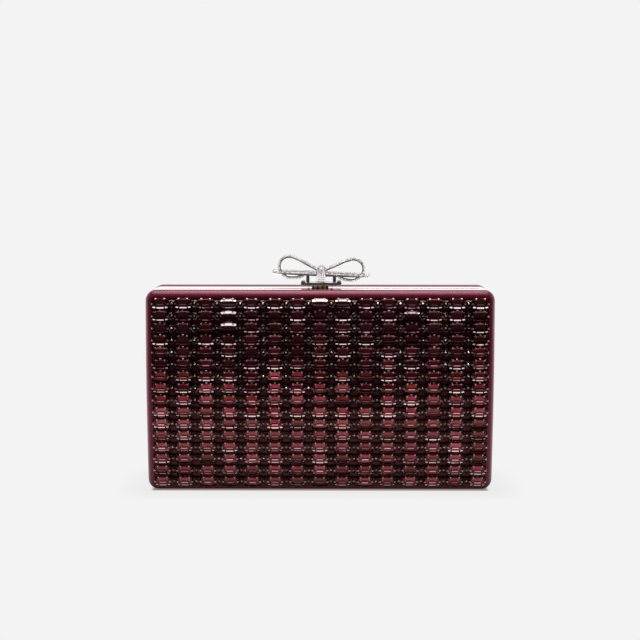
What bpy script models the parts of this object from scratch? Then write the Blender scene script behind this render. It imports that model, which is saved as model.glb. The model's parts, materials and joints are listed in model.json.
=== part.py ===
"""Hard evening clutch: two satin shells on a hinged metal frame, a rocking bow clasp, and a front of linked crystals.

Metres, +Z up, the front faces -Y. The clutch stands on its closed frame at Z = 0.
"""

import math

import bmesh
import bpy
from mathutils import Matrix, Vector

# Case
CASE_WIDTH = 0.1850  # across the satin covers
CASE_HEIGHT = 0.1070
CORNER_RADIUS = 0.0050
SIDE_BULGE = 0.0005  # how far each side swells out at mid height
SHELL_DEPTH = 0.0080  # from the frame's edge to the face, at the top and bottom edges
FACE_BULGE = 0.0035  # how much deeper the face lies at mid height
FACE_ROUND = 0.0035  # round-over between the walls and the face
CLEARANCE = 0.0003  # between pieces that sit on each other
CORNER_STEPS = 3
COVER_ROUND_STEPS = 2
TRAY_ROUND_STEPS = 1
COVER_CUTS = 5  # creases across a curved cover
CORE_CUTS = 3

# Metal frame
FRAME_DEPTH = 0.0110  # each half
FRAME_WALL = 0.0014
FRAME_PROUD = 0.0004  # beyond the covers
SEAM_GAP = 0.0003

# Skins and trays
COVER_WALL = 0.0010
CORE_WALL = 0.0015
CORE_ROUND = 0.0025
CORE_RECESS = 0.0010  # the core's rim behind the seam
LINING_WALL = 0.0008
LINING_ROUND = 0.0015
LINING_RECESS = 0.0006

# Hinge along the bottom
BARREL_RADIUS = 0.00145
BARREL_RAISE = 0.0003  # above the surface that the clutch stands on
HINGE_LENGTH = 0.0600
KNUCKLES = 5
PIN_RADIUS = 0.0006
PIN_CLEARANCE = 0.0003
LEAF_WALL = 0.0009
LEAF_REACH = 0.0085
LEAF_SETBACK = 0.0022  # the leaf's edge beside the other half's knuckles
RELIEF_REACH = 0.0032  # groove under the seam, where the halves swing past each other
ROUND_SIDES = 16
SMALL_SIDES = 12  # of pins, bosses and rolls
FINE_SIDES = 8  # of the clasp's axle and its holes

# Crystals on the front
COLUMNS = 15
ROWS = 16
GRID_SIDE_MARGIN = 0.0036
GRID_TOP_MARGIN = 0.0038
GRID_BOTTOM_MARGIN = 0.0030
COLUMN_GAP = 0.0022  # between the cups
ROW_GAP = 0.0009
STONE_RISE = 0.0030  # from the cup's back to the table
STONE_CORNER = 0.0015
CROWN_SIDE = 0.0014  # from a cup's edge in to the table
CROWN_LONG = 0.0014
TABLE_CORNER = 0.0007
LINK_RADIUS = 0.0006
LINK_LIFT = 0.0007  # the link's axis above the cups' backs
LINK_SIDES = 3
LINK_SEAT = 0.0014  # from a cup's middle to the link's end inside it

# Bow clasp: heights above the frame's top
PLATE_FRONT = 0.0042
PLATE_BACK = 0.0054
PLATE_LOW = 0.0015
PLATE_WALL = 0.0017
WINDOW_HALF = 0.0048
WINDOW_FRONT = 0.0009
WINDOW_BACK = 0.0041
EAR_HALF_GAP = 0.0050
EAR_WALL = 0.0014
EAR_HALF_LENGTH = 0.0011
EAR_LOW = 0.0005
ROLL_RADIUS = 0.0013
ROLL_LIFT = 0.0028
AXLE_BACK = 0.0025  # the clasp's axle behind the seam
AXLE_LIFT = 0.0015
AXLE_RADIUS = 0.0004
AXLE_CLEARANCE = 0.0003
HOOK_HALF_WIDTH = 0.00445
HOOK_FRONT = 0.0039
HOOK_BACK = 0.0004
HOOK_WALL = 0.0008
TAB_FRONT = 0.0032
TAB_WALL = 0.0010
TAB_DROP = 0.0020  # below the frame's top
NOTCH_FRONT = 0.0043
NOTCH_SIDE_GAP = 0.0004
NOTCH_DEPTH = 0.0028  # below the frame's top
BRACKET_HALF_WIDTH = 0.00445
BRACKET_CHEEK = 0.0014
BRACKET_FOOT = 0.0006
BRACKET_FRONT = 0.0003
BRACKET_BAR = 0.00075
BRACKET_BACK = 0.0036
SPRING_TURNS = 4
SPRING_STEPS = 8
SPRING_WIRE = 0.00022
SPRING_RADIUS = 0.00092

# Latch leaf on the front half: heights below the frame's top
CATCH_HALF_WIDTH = 0.0045
CATCH_WALL = 0.0004
CATCH_HEEL = 0.0095  # how far the fixed end lies in front of the seam
CATCH_HEEL_END = 0.0065
CATCH_BEND_END = 0.0055
CATCH_LIP_BACK = 0.0011
CATCH_SINK = 0.0025
CATCH_LIP_DROP = 0.0008

# Bow
BOW_MIDDLE = 0.0005  # right of the case's middle
BOW_LIFT = 0.0076  # tails' axis above the frame's top
BOW_ROLL = math.radians(2.4)
RIBBON_DEPTH = 0.0060
RIBBON_WALL = 0.0013
LOOP_START = 0.0030
LOOP_REACH = 0.0227
LOOP_START_RISE = 0.0024  # where the loop leaves the knot
LOOP_RISE = 0.0087
LOOP_DIP = 0.0024
LOOP_STEPS = 3
TAIL_START = 0.0028
TAIL_REACH = 0.0267
TAIL_DEPTH = 0.0050
TAIL_ROOT = 0.0026  # thickness at the knot
TAIL_TIP = 0.0020
LEG_REACH = 0.0072
LEG_WIDTH = 0.0018
LEG_DEPTH = 0.0030
KNOT_WIDTH = 0.0045
KNOT_DEPTH = 0.0070
KNOT_TOP = 0.0119
KNOT_WAIST = 0.0066
KNOT_FOOT_WIDTH = 0.0036
KNOT_FOOT_DEPTH = 0.0040
KNOT_FOOT_SINK = 0.0018  # how far the foot reaches up into the knot
KNOT_ROUNDS = 2  # subdivisions of its ball

# Worked out from the sizes above
OVERRUN = CASE_HEIGHT
FACE_REACH = FRAME_DEPTH + SHELL_DEPTH
CROWN_REACH = FACE_REACH + FACE_BULGE
SEAM_Y = (CLEARANCE + STONE_RISE) / 2
CASE_LOW = FRAME_PROUD
CASE_MIDDLE = CASE_LOW + CASE_HEIGHT / 2
FRAME_TOP = CASE_LOW + CASE_HEIGHT + FRAME_PROUD
CORE_INSET = COVER_WALL + CLEARANCE
LINING_INSET = CORE_INSET + CORE_WALL + CLEARANCE
AXIS_Z = BARREL_RADIUS + BARREL_RAISE
BORE_RADIUS = PIN_RADIUS + PIN_CLEARANCE
AXLE_Y = SEAM_Y + AXLE_BACK
AXLE_Z = FRAME_TOP + AXLE_LIFT
PLATE_TOP = FRAME_TOP + PLATE_LOW + PLATE_WALL
GRID_TOP = CASE_LOW + CASE_HEIGHT - GRID_TOP_MARGIN + ROW_GAP / 2
GRID_BOTTOM = CASE_LOW + GRID_BOTTOM_MARGIN - ROW_GAP / 2
ROW_PITCH = (GRID_TOP - GRID_BOTTOM) / ROWS
COLUMN_PITCH = (CASE_WIDTH - 2 * GRID_SIDE_MARGIN + COLUMN_GAP) / COLUMNS
STONE_WIDTH = COLUMN_PITCH - COLUMN_GAP
STONE_HEIGHT = ROW_PITCH - ROW_GAP
TABLE_WIDTH = STONE_WIDTH - 2 * CROWN_SIDE
TABLE_HEIGHT = STONE_HEIGHT - 2 * CROWN_LONG
PLATE_LEFT = BOW_MIDDLE - LEG_REACH - LEG_WIDTH / 2
PLATE_RIGHT = BOW_MIDDLE + LEG_REACH + LEG_WIDTH / 2
LOOP_RETURN = LEG_REACH + LEG_WIDTH / 2 + RIBBON_WALL
FRONT, BACK = -1, 1
SMOOTH_ANGLE = math.radians(40)

# Looks: name, colour, roughness, metallic
SATIN = ("satin", (0.20, 0.012, 0.045), 0.45, 0.0)
BOARD = ("board", (0.16, 0.13, 0.12), 0.8, 0.0)
LINING = ("lining", (0.10, 0.012, 0.030), 0.9, 0.0)
SILVER = ("polished_silver", (0.80, 0.80, 0.80), 0.08, 1.0)
STEEL = ("steel", (0.50, 0.50, 0.50), 0.3, 1.0)
BRASS = ("brass", (0.70, 0.52, 0.22), 0.25, 1.0)
CRYSTAL = ("crystal", (0.22, 0.015, 0.035), 0.05, 0.0)
PAVE = ("pave", (0.72, 0.72, 0.74), 0.15, 1.0)


def clear_scene():
    for obj in list(bpy.data.objects):
        bpy.data.objects.remove(obj, do_unlink=True)


def new_collection(name):
    collection = bpy.data.collections.new(name)
    bpy.context.scene.collection.children.link(collection)
    return collection


def material(look):
    name, colour, roughness, metallic = look
    found = bpy.data.materials.get(name)
    if found:
        return found
    made = bpy.data.materials.new(name)
    made.use_nodes = True
    shader = made.node_tree.nodes["Principled BSDF"]
    shader.inputs["Base Color"].default_value = (*colour, 1.0)
    shader.inputs["Roughness"].default_value = roughness
    shader.inputs["Metallic"].default_value = metallic
    made.diffuse_color = (*colour, 1.0)
    return made


def mesh_from(bm, name):
    bmesh.ops.recalc_face_normals(bm, faces=bm.faces)
    mesh = bpy.data.meshes.new(name)
    bm.to_mesh(mesh)
    bm.free()
    return mesh


def add_piece(name, mesh, look, parent=None):
    """A sub-part whose mesh is drawn around the origin of its parent."""
    obj = bpy.data.objects.new(name, mesh)
    parts.objects.link(obj)
    if not mesh.materials:
        mesh.materials.append(material(look))
    obj.parent = parent
    return obj


def add_cutter(name, mesh, parent=None):
    obj = bpy.data.objects.new(name, mesh)
    cutters.objects.link(obj)
    obj.hide_render = True
    obj.display_type = "WIRE"
    obj.parent = parent
    return obj


def add_pivot(name, place):
    pivot = bpy.data.objects.new(name, None)
    pivot.location = place
    parts.objects.link(pivot)
    return pivot


def combine(obj, other, operation):
    boolean = obj.modifiers.new(other.name, "BOOLEAN")
    boolean.operation = operation
    boolean.solver = "EXACT"
    boolean.object = other


def thicken(obj, wall, offset=-1.0):
    solidify = obj.modifiers.new("wall", "SOLIDIFY")
    solidify.thickness = wall
    solidify.offset = offset
    solidify.use_even_offset = True


def frozen(obj, name):
    """The object's finished mesh, with the object removed."""
    bpy.context.view_layer.update()
    evaluated = obj.evaluated_get(bpy.context.evaluated_depsgraph_get())
    mesh = bpy.data.meshes.new_from_object(evaluated)
    mesh.name = name
    mesh.transform(obj.matrix_world)
    bpy.data.objects.remove(obj, do_unlink=True)
    return mesh


def box_mesh(name, *spans):
    """Boxes from pairs of opposite corners, in one mesh."""
    bm = bmesh.new()
    for low, high in spans:
        low, high = Vector(low), Vector(high)
        made = bmesh.ops.create_cube(bm, size=1.0)["verts"]
        bmesh.ops.scale(bm, vec=high - low, verts=made)
        bmesh.ops.translate(bm, vec=(low + high) / 2, verts=made)
    return mesh_from(bm, name)


def rod_mesh(name, radius, spans, axis="X", sides=ROUND_SIDES):
    """Round rods along an axis, each from its start to its end, in one mesh."""
    turn = Matrix.Rotation(math.pi / 2, 4, "Y" if axis == "X" else "X")
    if axis == "Z":
        turn = Matrix.Identity(4)
    bm = bmesh.new()
    for start, end in spans:
        start, end = Vector(start), Vector(end)
        bmesh.ops.create_cone(
            bm,
            cap_ends=True,
            segments=sides,
            radius1=radius,
            radius2=radius,
            depth=(end - start).length,
            matrix=Matrix.Translation((start + end) / 2) @ turn,
        )
    return mesh_from(bm, name)


def shade_round(obj, angle=SMOOTH_ANGLE):
    obj.data.shade_smooth()
    obj.data.set_sharp_from_angle(angle=angle)


def case_outline(inset):
    """The case's outline, this far inside the covers, as (x, z) points round from the lower right corner."""
    half_width = CASE_WIDTH / 2 - SIDE_BULGE - inset
    half_height = CASE_HEIGHT / 2 - inset
    radius = CORNER_RADIUS - inset
    points = []
    for quarter, (right, up) in enumerate(((1, -1), (1, 1), (-1, 1), (-1, -1))):
        for step in range(CORNER_STEPS + 1):
            angle = math.pi / 2 * (quarter - 1 + step / CORNER_STEPS)
            points.append(
                (
                    right * (half_width - radius) + radius * math.cos(angle),
                    CASE_MIDDLE + up * (half_height - radius) + radius * math.sin(angle),
                )
            )
    return points


def arc_share(z):
    """0 at the case's top and bottom, 1 at mid height, along a circle's arc."""
    across = (z - CASE_MIDDLE) / (CASE_HEIGHT / 2)
    return 1 - across * across


def shell_mesh(name, side, rings, heights, capped=True):
    """An open skin round the case's outline.

    Each ring is an inset and a reach from the seam, from the rim to the face. The skin is cut at the given
    heights, and everything beyond the frame then bows out with the face.
    """
    bm = bmesh.new()
    loops = []
    face_depth = max(CLEARANCE, rings[-1][1] - FRAME_DEPTH)
    for inset, reach in rings:
        ring = [bm.verts.new((x, side * reach, z)) for x, z in case_outline(inset)]
        loops.append([bm.edges.new((a, b)) for a, b in zip(ring, ring[1:] + ring[:1])])
    for near, far in zip(loops, loops[1:]):
        bmesh.ops.bridge_loops(bm, edges=near + far)
    if capped:
        bmesh.ops.contextual_create(bm, geom=loops[-1])
    for z in heights:
        geom = bm.verts[:] + bm.edges[:] + bm.faces[:]
        bmesh.ops.bisect_plane(bm, geom=geom, plane_co=(0, 0, z), plane_no=(0, 0, 1))
    for vert in bm.verts:
        vert.co.x += math.copysign(SIDE_BULGE * arc_share(vert.co.z), vert.co.x)
        beyond = (abs(vert.co.y) - FRAME_DEPTH) / face_depth
        if beyond > 0:
            vert.co.y += side * FACE_BULGE * arc_share(vert.co.z) * min(1, beyond)
        vert.co.y += SEAM_Y
    return mesh_from(bm, name)


def round_rings(inset, reach, radius, steps):
    """The rings of a round-over, from the wall to the face."""
    rings = []
    for step in range(steps + 1):
        angle = math.pi / 2 * step / steps
        rings.append((inset + radius * (1 - math.cos(angle)), reach - radius * (1 - math.sin(angle))))
    return rings


def crease_heights(cuts):
    return [CASE_LOW + CASE_HEIGHT * (cut + 1) / (cuts + 1) for cut in range(cuts)]


def add_shell_half(prefix, side, heights):
    """The cover, core and lining of one half, each inside the last."""
    cover_rings = [(0, FRAME_DEPTH + CLEARANCE)] + round_rings(0, FACE_REACH, FACE_ROUND, COVER_ROUND_STEPS)
    cover = add_piece(prefix + "_cover", shell_mesh("cover", side, cover_rings, heights), SATIN)
    thicken(cover, COVER_WALL)
    core_rings = [(CORE_INSET, CORE_RECESS)]
    core_rings += round_rings(CORE_INSET, FACE_REACH - CORE_INSET, CORE_ROUND, TRAY_ROUND_STEPS)
    plain = crease_heights(CORE_CUTS)
    core = add_piece(prefix + "_core", shell_mesh("core", side, core_rings, plain), BOARD)
    thicken(core, CORE_WALL)
    lining_rings = [(LINING_INSET, LINING_RECESS)]
    lining_rings += round_rings(LINING_INSET, FACE_REACH - LINING_INSET, LINING_ROUND, TRAY_ROUND_STEPS)
    lining = add_piece(prefix + "_lining", shell_mesh("lining", side, lining_rings, plain), LINING)
    thicken(lining, LINING_WALL)
    for obj in (cover, core, lining):
        shade_round(obj)
    return core


def add_frame_half(prefix, side):
    rings = [(-FRAME_PROUD, SEAM_GAP / 2), (-FRAME_PROUD, FRAME_DEPTH)]
    mesh = shell_mesh("frame", side, rings, crease_heights(CORE_CUTS), capped=False)
    frame = add_piece(prefix + "_frame", mesh, SILVER)
    thicken(frame, FRAME_WALL)
    shade_round(frame)
    return frame


def seam_box(side, half_width, near, far, low, high):
    """The corners of a box on one side of the seam, from a near to a far distance."""
    ends = sorted((SEAM_Y + side * near, SEAM_Y + side * far))
    return (-half_width, ends[0], low), (half_width, ends[1], high)


def knuckle_spans(first):
    """The ends along X of every second knuckle."""
    pitch = HINGE_LENGTH / KNUCKLES
    spans = []
    for index in range(first, KNUCKLES, 2):
        start = -HINGE_LENGTH / 2 + index * pitch
        spans.append((start + CLEARANCE / 2, start + pitch - CLEARANCE / 2))
    return spans


def add_hinge_leaf(prefix, side, first):
    low = FRAME_WALL + CLEARANCE
    leaf = add_piece(
        prefix + "_hinge_leaf",
        box_mesh("leaf", seam_box(side, HINGE_LENGTH / 2, LEAF_SETBACK, LEAF_REACH, low, low + LEAF_WALL)),
        STEEL,
    )
    tongue = sorted((SEAM_Y, SEAM_Y + side * (LEAF_SETBACK + LEAF_WALL)))
    spans = knuckle_spans(first)
    tongues = [((a + CLEARANCE, tongue[0], low), (b - CLEARANCE, tongue[1], low + LEAF_WALL)) for a, b in spans]
    barrels = [((a, SEAM_Y, AXIS_Z), (b, SEAM_Y, AXIS_Z)) for a, b in spans]
    reach = HINGE_LENGTH
    bore = [((-reach, SEAM_Y, AXIS_Z), (reach, SEAM_Y, AXIS_Z))]
    combine(leaf, add_cutter(prefix + "_tongues", box_mesh("tongues", *tongues)), "UNION")
    combine(leaf, add_cutter(prefix + "_barrels", rod_mesh("barrels", BARREL_RADIUS, barrels)), "UNION")
    combine(leaf, add_cutter(prefix + "_bore", rod_mesh("bore", BORE_RADIUS, bore)), "DIFFERENCE")
    return leaf


def cut_seats(side, frame, core):
    """The groove under the seam, and the pocket that the hinge leaf lies in."""
    reach = CASE_WIDTH
    groove = seam_box(side, reach, -CLEARANCE, RELIEF_REACH, -OVERRUN, AXIS_Z)
    combine(frame, add_cutter(frame.name + "_groove", box_mesh("groove", groove)), "DIFFERENCE")
    half = HINGE_LENGTH / 2 + CLEARANCE
    top = CASE_LOW + CORE_INSET + CORE_WALL + CLEARANCE / 2
    pocket = seam_box(side, half, -CLEARANCE, LEAF_REACH + CLEARANCE, -OVERRUN, top)
    combine(core, add_cutter(core.name + "_pocket", box_mesh("pocket", pocket)), "DIFFERENCE")


def add_case():
    rows = [GRID_BOTTOM + ROW_PITCH * row for row in range(ROWS + 1)]
    front_core = add_shell_half("front", FRONT, rows)
    back_core = add_shell_half("back", BACK, crease_heights(COVER_CUTS))
    front_frame = add_frame_half("front", FRONT)
    back_frame = add_frame_half("back", BACK)
    cut_seats(FRONT, front_frame, front_core)
    cut_seats(BACK, back_frame, back_core)
    add_hinge_leaf("front", FRONT, 1)
    add_hinge_leaf("back", BACK, 0)
    half = HINGE_LENGTH / 2
    pin = [((-half, SEAM_Y, AXIS_Z), (half, SEAM_Y, AXIS_Z))]
    shade_round(add_piece("hinge_pin", rod_mesh("hinge_pin", PIN_RADIUS, pin, sides=SMALL_SIDES), STEEL))
    half = HOOK_HALF_WIDTH + NOTCH_SIDE_GAP
    notch = seam_box(FRONT, half, -CLEARANCE, NOTCH_FRONT, FRAME_TOP - NOTCH_DEPTH, FRAME_TOP + OVERRUN)
    combine(front_frame, add_cutter("latch_notch", box_mesh("notch", notch)), "DIFFERENCE")
    half = CATCH_HALF_WIDTH + NOTCH_SIDE_GAP
    top = FRAME_TOP - FRAME_WALL
    low = top - CLEARANCE - CORE_WALL - CLEARANCE / 2
    pocket = seam_box(FRONT, half, -CLEARANCE, CATCH_HEEL + CLEARANCE, low, top)
    combine(front_core, add_cutter("catch_pocket", box_mesh("pocket", pocket)), "DIFFERENCE")


def face_place(z):
    """The front cover's surface at a height: how far it lies in front of the seam."""
    return FACE_REACH + FACE_BULGE * arc_share(z)


def octagon(width, height, corner):
    w, h = width / 2, height / 2
    return [
        (w - corner, -h), (w, -h + corner), (w, h - corner), (w - corner, h),
        (-w + corner, h), (-w, h - corner), (-w, -h + corner), (-w + corner, -h),
    ]


def add_stone(bm, place):
    """An eight-sided step-cut stone in its cup: an outline drawn out and drawn in to the table."""
    outline = octagon(STONE_WIDTH, STONE_HEIGHT, STONE_CORNER)
    table = octagon(TABLE_WIDTH, TABLE_HEIGHT, TABLE_CORNER)
    base = bm.faces.new([bm.verts.new(place @ Vector((x, 0, z))) for x, z in outline])
    lifted = bmesh.ops.extrude_face_region(bm, geom=[base], use_keep_orig=True)["geom"]
    verts = [item for item in lifted if isinstance(item, bmesh.types.BMVert)]
    back = place.inverted()
    for vert in verts:
        local = back @ vert.co
        index = min(range(len(outline)), key=lambda i: (Vector(outline[i]) - local.xz).length)
        x, z = table[index]
        vert.co = place @ Vector((x, -STONE_RISE, z))


def row_place(row):
    """Where a row's stones sit: flat on their band of the curved face."""
    low = GRID_TOP - ROW_PITCH * (row + 1)
    high = low + ROW_PITCH
    near, far = face_place(low), face_place(high)
    tilt = math.atan2(far - near, high - low)
    middle = Vector((0, SEAM_Y - (near + far) / 2, (low + high) / 2))
    lift = Matrix.Translation((0, -CLEARANCE, 0))
    return Matrix.Translation(middle) @ Matrix.Rotation(tilt, 4, "X") @ lift


def strip_mesh():
    """One column of cups, each joined to the next by a link."""
    stones = bmesh.new()
    places = [row_place(row) for row in range(ROWS)]
    for place in places:
        add_stone(stones, place)
    strip = add_piece("strip", mesh_from(stones, "stones"), CRYSTAL)
    links = bmesh.new()
    for upper, lower in zip(places, places[1:]):
        start = upper @ Vector((0, -LINK_LIFT, -LINK_SEAT))
        end = lower @ Vector((0, -LINK_LIFT, LINK_SEAT))
        along = end - start
        bmesh.ops.create_cone(
            links,
            cap_ends=True,
            segments=LINK_SIDES,
            radius1=LINK_RADIUS,
            radius2=LINK_RADIUS,
            depth=along.length,
            matrix=Matrix.Translation((start + end) / 2) @ along.to_track_quat("Z", "Y").to_matrix().to_4x4(),
        )
    joined = add_cutter("strip_links", mesh_from(links, "links"))
    combine(strip, joined, "UNION")
    mesh = frozen(strip, "crystal_strip")
    bpy.data.objects.remove(joined, do_unlink=True)
    return mesh


def add_crystals():
    mesh = strip_mesh()
    for column in range(COLUMNS):
        strip = add_piece(f"crystal_strip_{column + 1:02d}", mesh, CRYSTAL)
        strip.location.x = COLUMN_PITCH * (column - (COLUMNS - 1) / 2)


def profile_mesh(name, outline, low, high):
    """An outline of (y, z) points drawn out along X."""
    bm = bmesh.new()
    face = bm.faces.new([bm.verts.new((low, y, z)) for y, z in outline])
    drawn = bmesh.ops.extrude_face_region(bm, geom=[face], use_keep_orig=True)["geom"]
    verts = [item for item in drawn if isinstance(item, bmesh.types.BMVert)]
    bmesh.ops.translate(bm, vec=(high - low, 0, 0), verts=verts)
    return mesh_from(bm, name)


def add_catch():
    """A leaf spring under the front frame's top, its lip standing up behind the hook."""
    heel_top = FRAME_TOP - FRAME_WALL - CLEARANCE
    sunk = FRAME_TOP - CATCH_SINK
    lip_top = FRAME_TOP - CATCH_LIP_DROP
    outline = [
        (-CATCH_HEEL, heel_top),
        (-CATCH_HEEL_END, heel_top),
        (-CATCH_BEND_END, sunk),
        (-CATCH_LIP_BACK - CATCH_WALL, sunk),
        (-CATCH_LIP_BACK - CATCH_WALL, lip_top - CATCH_WALL),
        (-CATCH_LIP_BACK, lip_top),
        (-CATCH_LIP_BACK, sunk - CATCH_WALL),
        (-CATCH_BEND_END - CATCH_WALL / 2, sunk - CATCH_WALL),
        (-CATCH_HEEL_END - CATCH_WALL / 2, heel_top - CATCH_WALL),
        (-CATCH_HEEL, heel_top - CATCH_WALL),
    ]
    placed = [(SEAM_Y + y, z) for y, z in outline]
    add_piece("catch_leaf", profile_mesh("catch", placed, -CATCH_HALF_WIDTH, CATCH_HALF_WIDTH), STEEL)


def add_bracket():
    """Brass cheeks on the back frame that hold the clasp's axle."""
    low = FRAME_TOP + CLEARANCE
    half, cheek = BRACKET_HALF_WIDTH, BRACKET_CHEEK
    front, back = SEAM_Y + BRACKET_FRONT, SEAM_Y + BRACKET_BACK
    bracket = add_piece(
        "clasp_bracket",
        box_mesh("bar", ((-half, front, low), (half, front + BRACKET_BAR, low + BRACKET_FOOT))),
        BRASS,
    )
    feet = [((s - cheek / 2, front, low), (s + cheek / 2, back, low + BRACKET_FOOT)) for s in (cheek / 2 - half, half - cheek / 2)]
    boss = EAR_HALF_LENGTH
    bosses = [((x, AXLE_Y, AXLE_Z), (x + cheek, AXLE_Y, AXLE_Z)) for x in (-half, half - cheek)]
    hole = AXLE_RADIUS + AXLE_CLEARANCE
    through = [((-CASE_WIDTH, AXLE_Y, AXLE_Z), (CASE_WIDTH, AXLE_Y, AXLE_Z))]
    combine(bracket, add_cutter("bracket_feet", box_mesh("feet", *feet)), "UNION")
    combine(bracket, add_cutter("bracket_bosses", rod_mesh("bosses", boss, bosses, sides=SMALL_SIDES)), "UNION")
    combine(bracket, add_cutter("bracket_hole", rod_mesh("hole", hole, through, sides=FINE_SIDES)), "DIFFERENCE")


def add_spring():
    """A torsion spring round the axle, between the cheeks."""
    span = (BRACKET_HALF_WIDTH - BRACKET_CHEEK - CLEARANCE - SPRING_WIRE) * 2
    steps = SPRING_TURNS * SPRING_STEPS
    points = []
    for step in range(steps + 1):
        angle = 2 * math.pi * step / SPRING_STEPS
        x = -span / 2 + span * step / steps
        points.append((x, SPRING_RADIUS * math.sin(angle), SPRING_RADIUS * math.cos(angle)))
    curve = bpy.data.curves.new("spring", "CURVE")
    curve.dimensions = "3D"
    curve.bevel_depth = SPRING_WIRE
    curve.bevel_resolution = 1
    curve.use_fill_caps = True
    spline = curve.splines.new("POLY")
    spline.points.add(len(points) - 1)
    for point, place in zip(spline.points, points):
        point.co = (*place, 1.0)
    curve.materials.append(material(STEEL))
    spring = bpy.data.objects.new("clasp_spring", curve)
    spring.location = (0, AXLE_Y, AXLE_Z)
    parts.objects.link(spring)


def add_clasp_base(pivot):
    """The rocking plate, its ears, rolled ends, axle and hook, drawn round the axle."""
    low, top = PLATE_LOW - AXLE_LIFT, PLATE_LOW + PLATE_WALL - AXLE_LIFT
    front, back = -PLATE_FRONT - AXLE_BACK, PLATE_BACK - AXLE_BACK
    plate = add_piece("clasp_plate", box_mesh("plate", ((PLATE_LEFT, front, low), (PLATE_RIGHT, back, top))), SILVER, pivot)
    ear_low = EAR_LOW - AXLE_LIFT
    ears = []
    for start in (-EAR_HALF_GAP - EAR_WALL, EAR_HALF_GAP):
        ears.append(((start, -EAR_HALF_LENGTH, ear_low), (start + EAR_WALL, EAR_HALF_LENGTH, low + CLEARANCE)))
    combine(plate, add_cutter("plate_ears", box_mesh("ears", *ears), pivot), "UNION")
    window = (
        (-WINDOW_HALF, WINDOW_FRONT - AXLE_BACK, -OVERRUN),
        (WINDOW_HALF, WINDOW_BACK - AXLE_BACK, OVERRUN),
    )
    combine(plate, add_cutter("plate_window", box_mesh("window", window), pivot), "DIFFERENCE")
    end = EAR_HALF_GAP + EAR_WALL
    hole = AXLE_RADIUS + AXLE_CLEARANCE
    bore = rod_mesh("bore", hole, [((-end - EAR_WALL / 2, 0, 0), (end + EAR_WALL / 2, 0, 0))], sides=FINE_SIDES)
    combine(plate, add_cutter("plate_bore", bore, pivot), "DIFFERENCE")
    axle = rod_mesh("axle", AXLE_RADIUS, [((-end, 0, 0), (end, 0, 0))], sides=FINE_SIDES)
    shade_round(add_piece("clasp_axle", axle, STEEL, pivot))
    for side, x in (("left", PLATE_LEFT - CLEARANCE - ROLL_RADIUS), ("right", PLATE_RIGHT + CLEARANCE + ROLL_RADIUS)):
        z = ROLL_LIFT - AXLE_LIFT
        roll = rod_mesh("roll", ROLL_RADIUS, [((x, front, z), (x, back, z))], axis="Y", sides=SMALL_SIDES)
        shade_round(add_piece("plate_roll_" + side, roll, STEEL, pivot))
    flange_top = low - CLEARANCE
    flange_low = flange_top - HOOK_WALL
    tab_low = -TAB_DROP - AXLE_LIFT
    tab_front = -TAB_FRONT - AXLE_BACK
    outline = [
        (-HOOK_FRONT - AXLE_BACK, flange_top),
        (-HOOK_FRONT - AXLE_BACK, flange_low),
        (tab_front, flange_low),
        (tab_front, tab_low + TAB_WALL / 2),
        (tab_front + TAB_WALL / 2, tab_low),
        (tab_front + TAB_WALL, tab_low),
        (tab_front + TAB_WALL, flange_low),
        (-HOOK_BACK - AXLE_BACK, flange_low),
        (-HOOK_BACK - AXLE_BACK, flange_top),
    ]
    add_piece("clasp_hook", profile_mesh("hook", outline, -HOOK_HALF_WIDTH, HOOK_HALF_WIDTH), BRASS, pivot)


# Loop of the bow: shares of its reach and of its rise above the tail's axis, then shares of the stretch from the leg
# to its reach and of its dip below that axis
LOOP_UPPER_SHARES = ((0.36, 0.60), (0.60, 0.90), (0.80, 1.00), (0.95, 0.78), (1.00, 0.45), (0.96, 0.10))
LOOP_LOWER_SHARES = ((0.73, 0.80), (0.42, 1.00), (0.12, 0.72), (0.00, 0.40))


def ribbon_mesh(side):
    """A strip of metal ribbon bent into one loop of the bow."""
    points = [(LOOP_START, LOOP_START_RISE)]
    points += [(LOOP_REACH * along, LOOP_RISE * up) for along, up in LOOP_UPPER_SHARES]
    span = LOOP_REACH - LOOP_RETURN
    points += [(LOOP_RETURN + span * along, -LOOP_DIP * down) for along, down in LOOP_LOWER_SHARES]
    curve = bpy.data.curves.new("ribbon", "CURVE")
    curve.dimensions = "2D"
    curve.fill_mode = "NONE"
    curve.extrude = RIBBON_DEPTH / 2
    curve.resolution_u = LOOP_STEPS
    spline = curve.splines.new("BEZIER")
    spline.bezier_points.add(len(points) - 1)
    for point, (x, z) in zip(spline.bezier_points, points):
        point.co = (side * x, z, 0)
        point.handle_left_type = "AUTO"
        point.handle_right_type = "AUTO"
    ribbon = bpy.data.objects.new("ribbon", curve)
    ribbon.rotation_euler.x = math.pi / 2
    cutters.objects.link(ribbon)
    return frozen(ribbon, "ribbon")


def tail_mesh(side):
    """The straight tail: a bar that thins towards its tip."""
    bm = bmesh.new()
    made = bmesh.ops.create_cube(bm, size=1.0)["verts"]
    for vert in made:
        outer = vert.co.x > 0
        vert.co.x = side * (TAIL_REACH if outer else TAIL_START)
        vert.co.y *= TAIL_DEPTH
        vert.co.z *= TAIL_TIP if outer else TAIL_ROOT
    return mesh_from(bm, "tail")


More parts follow.
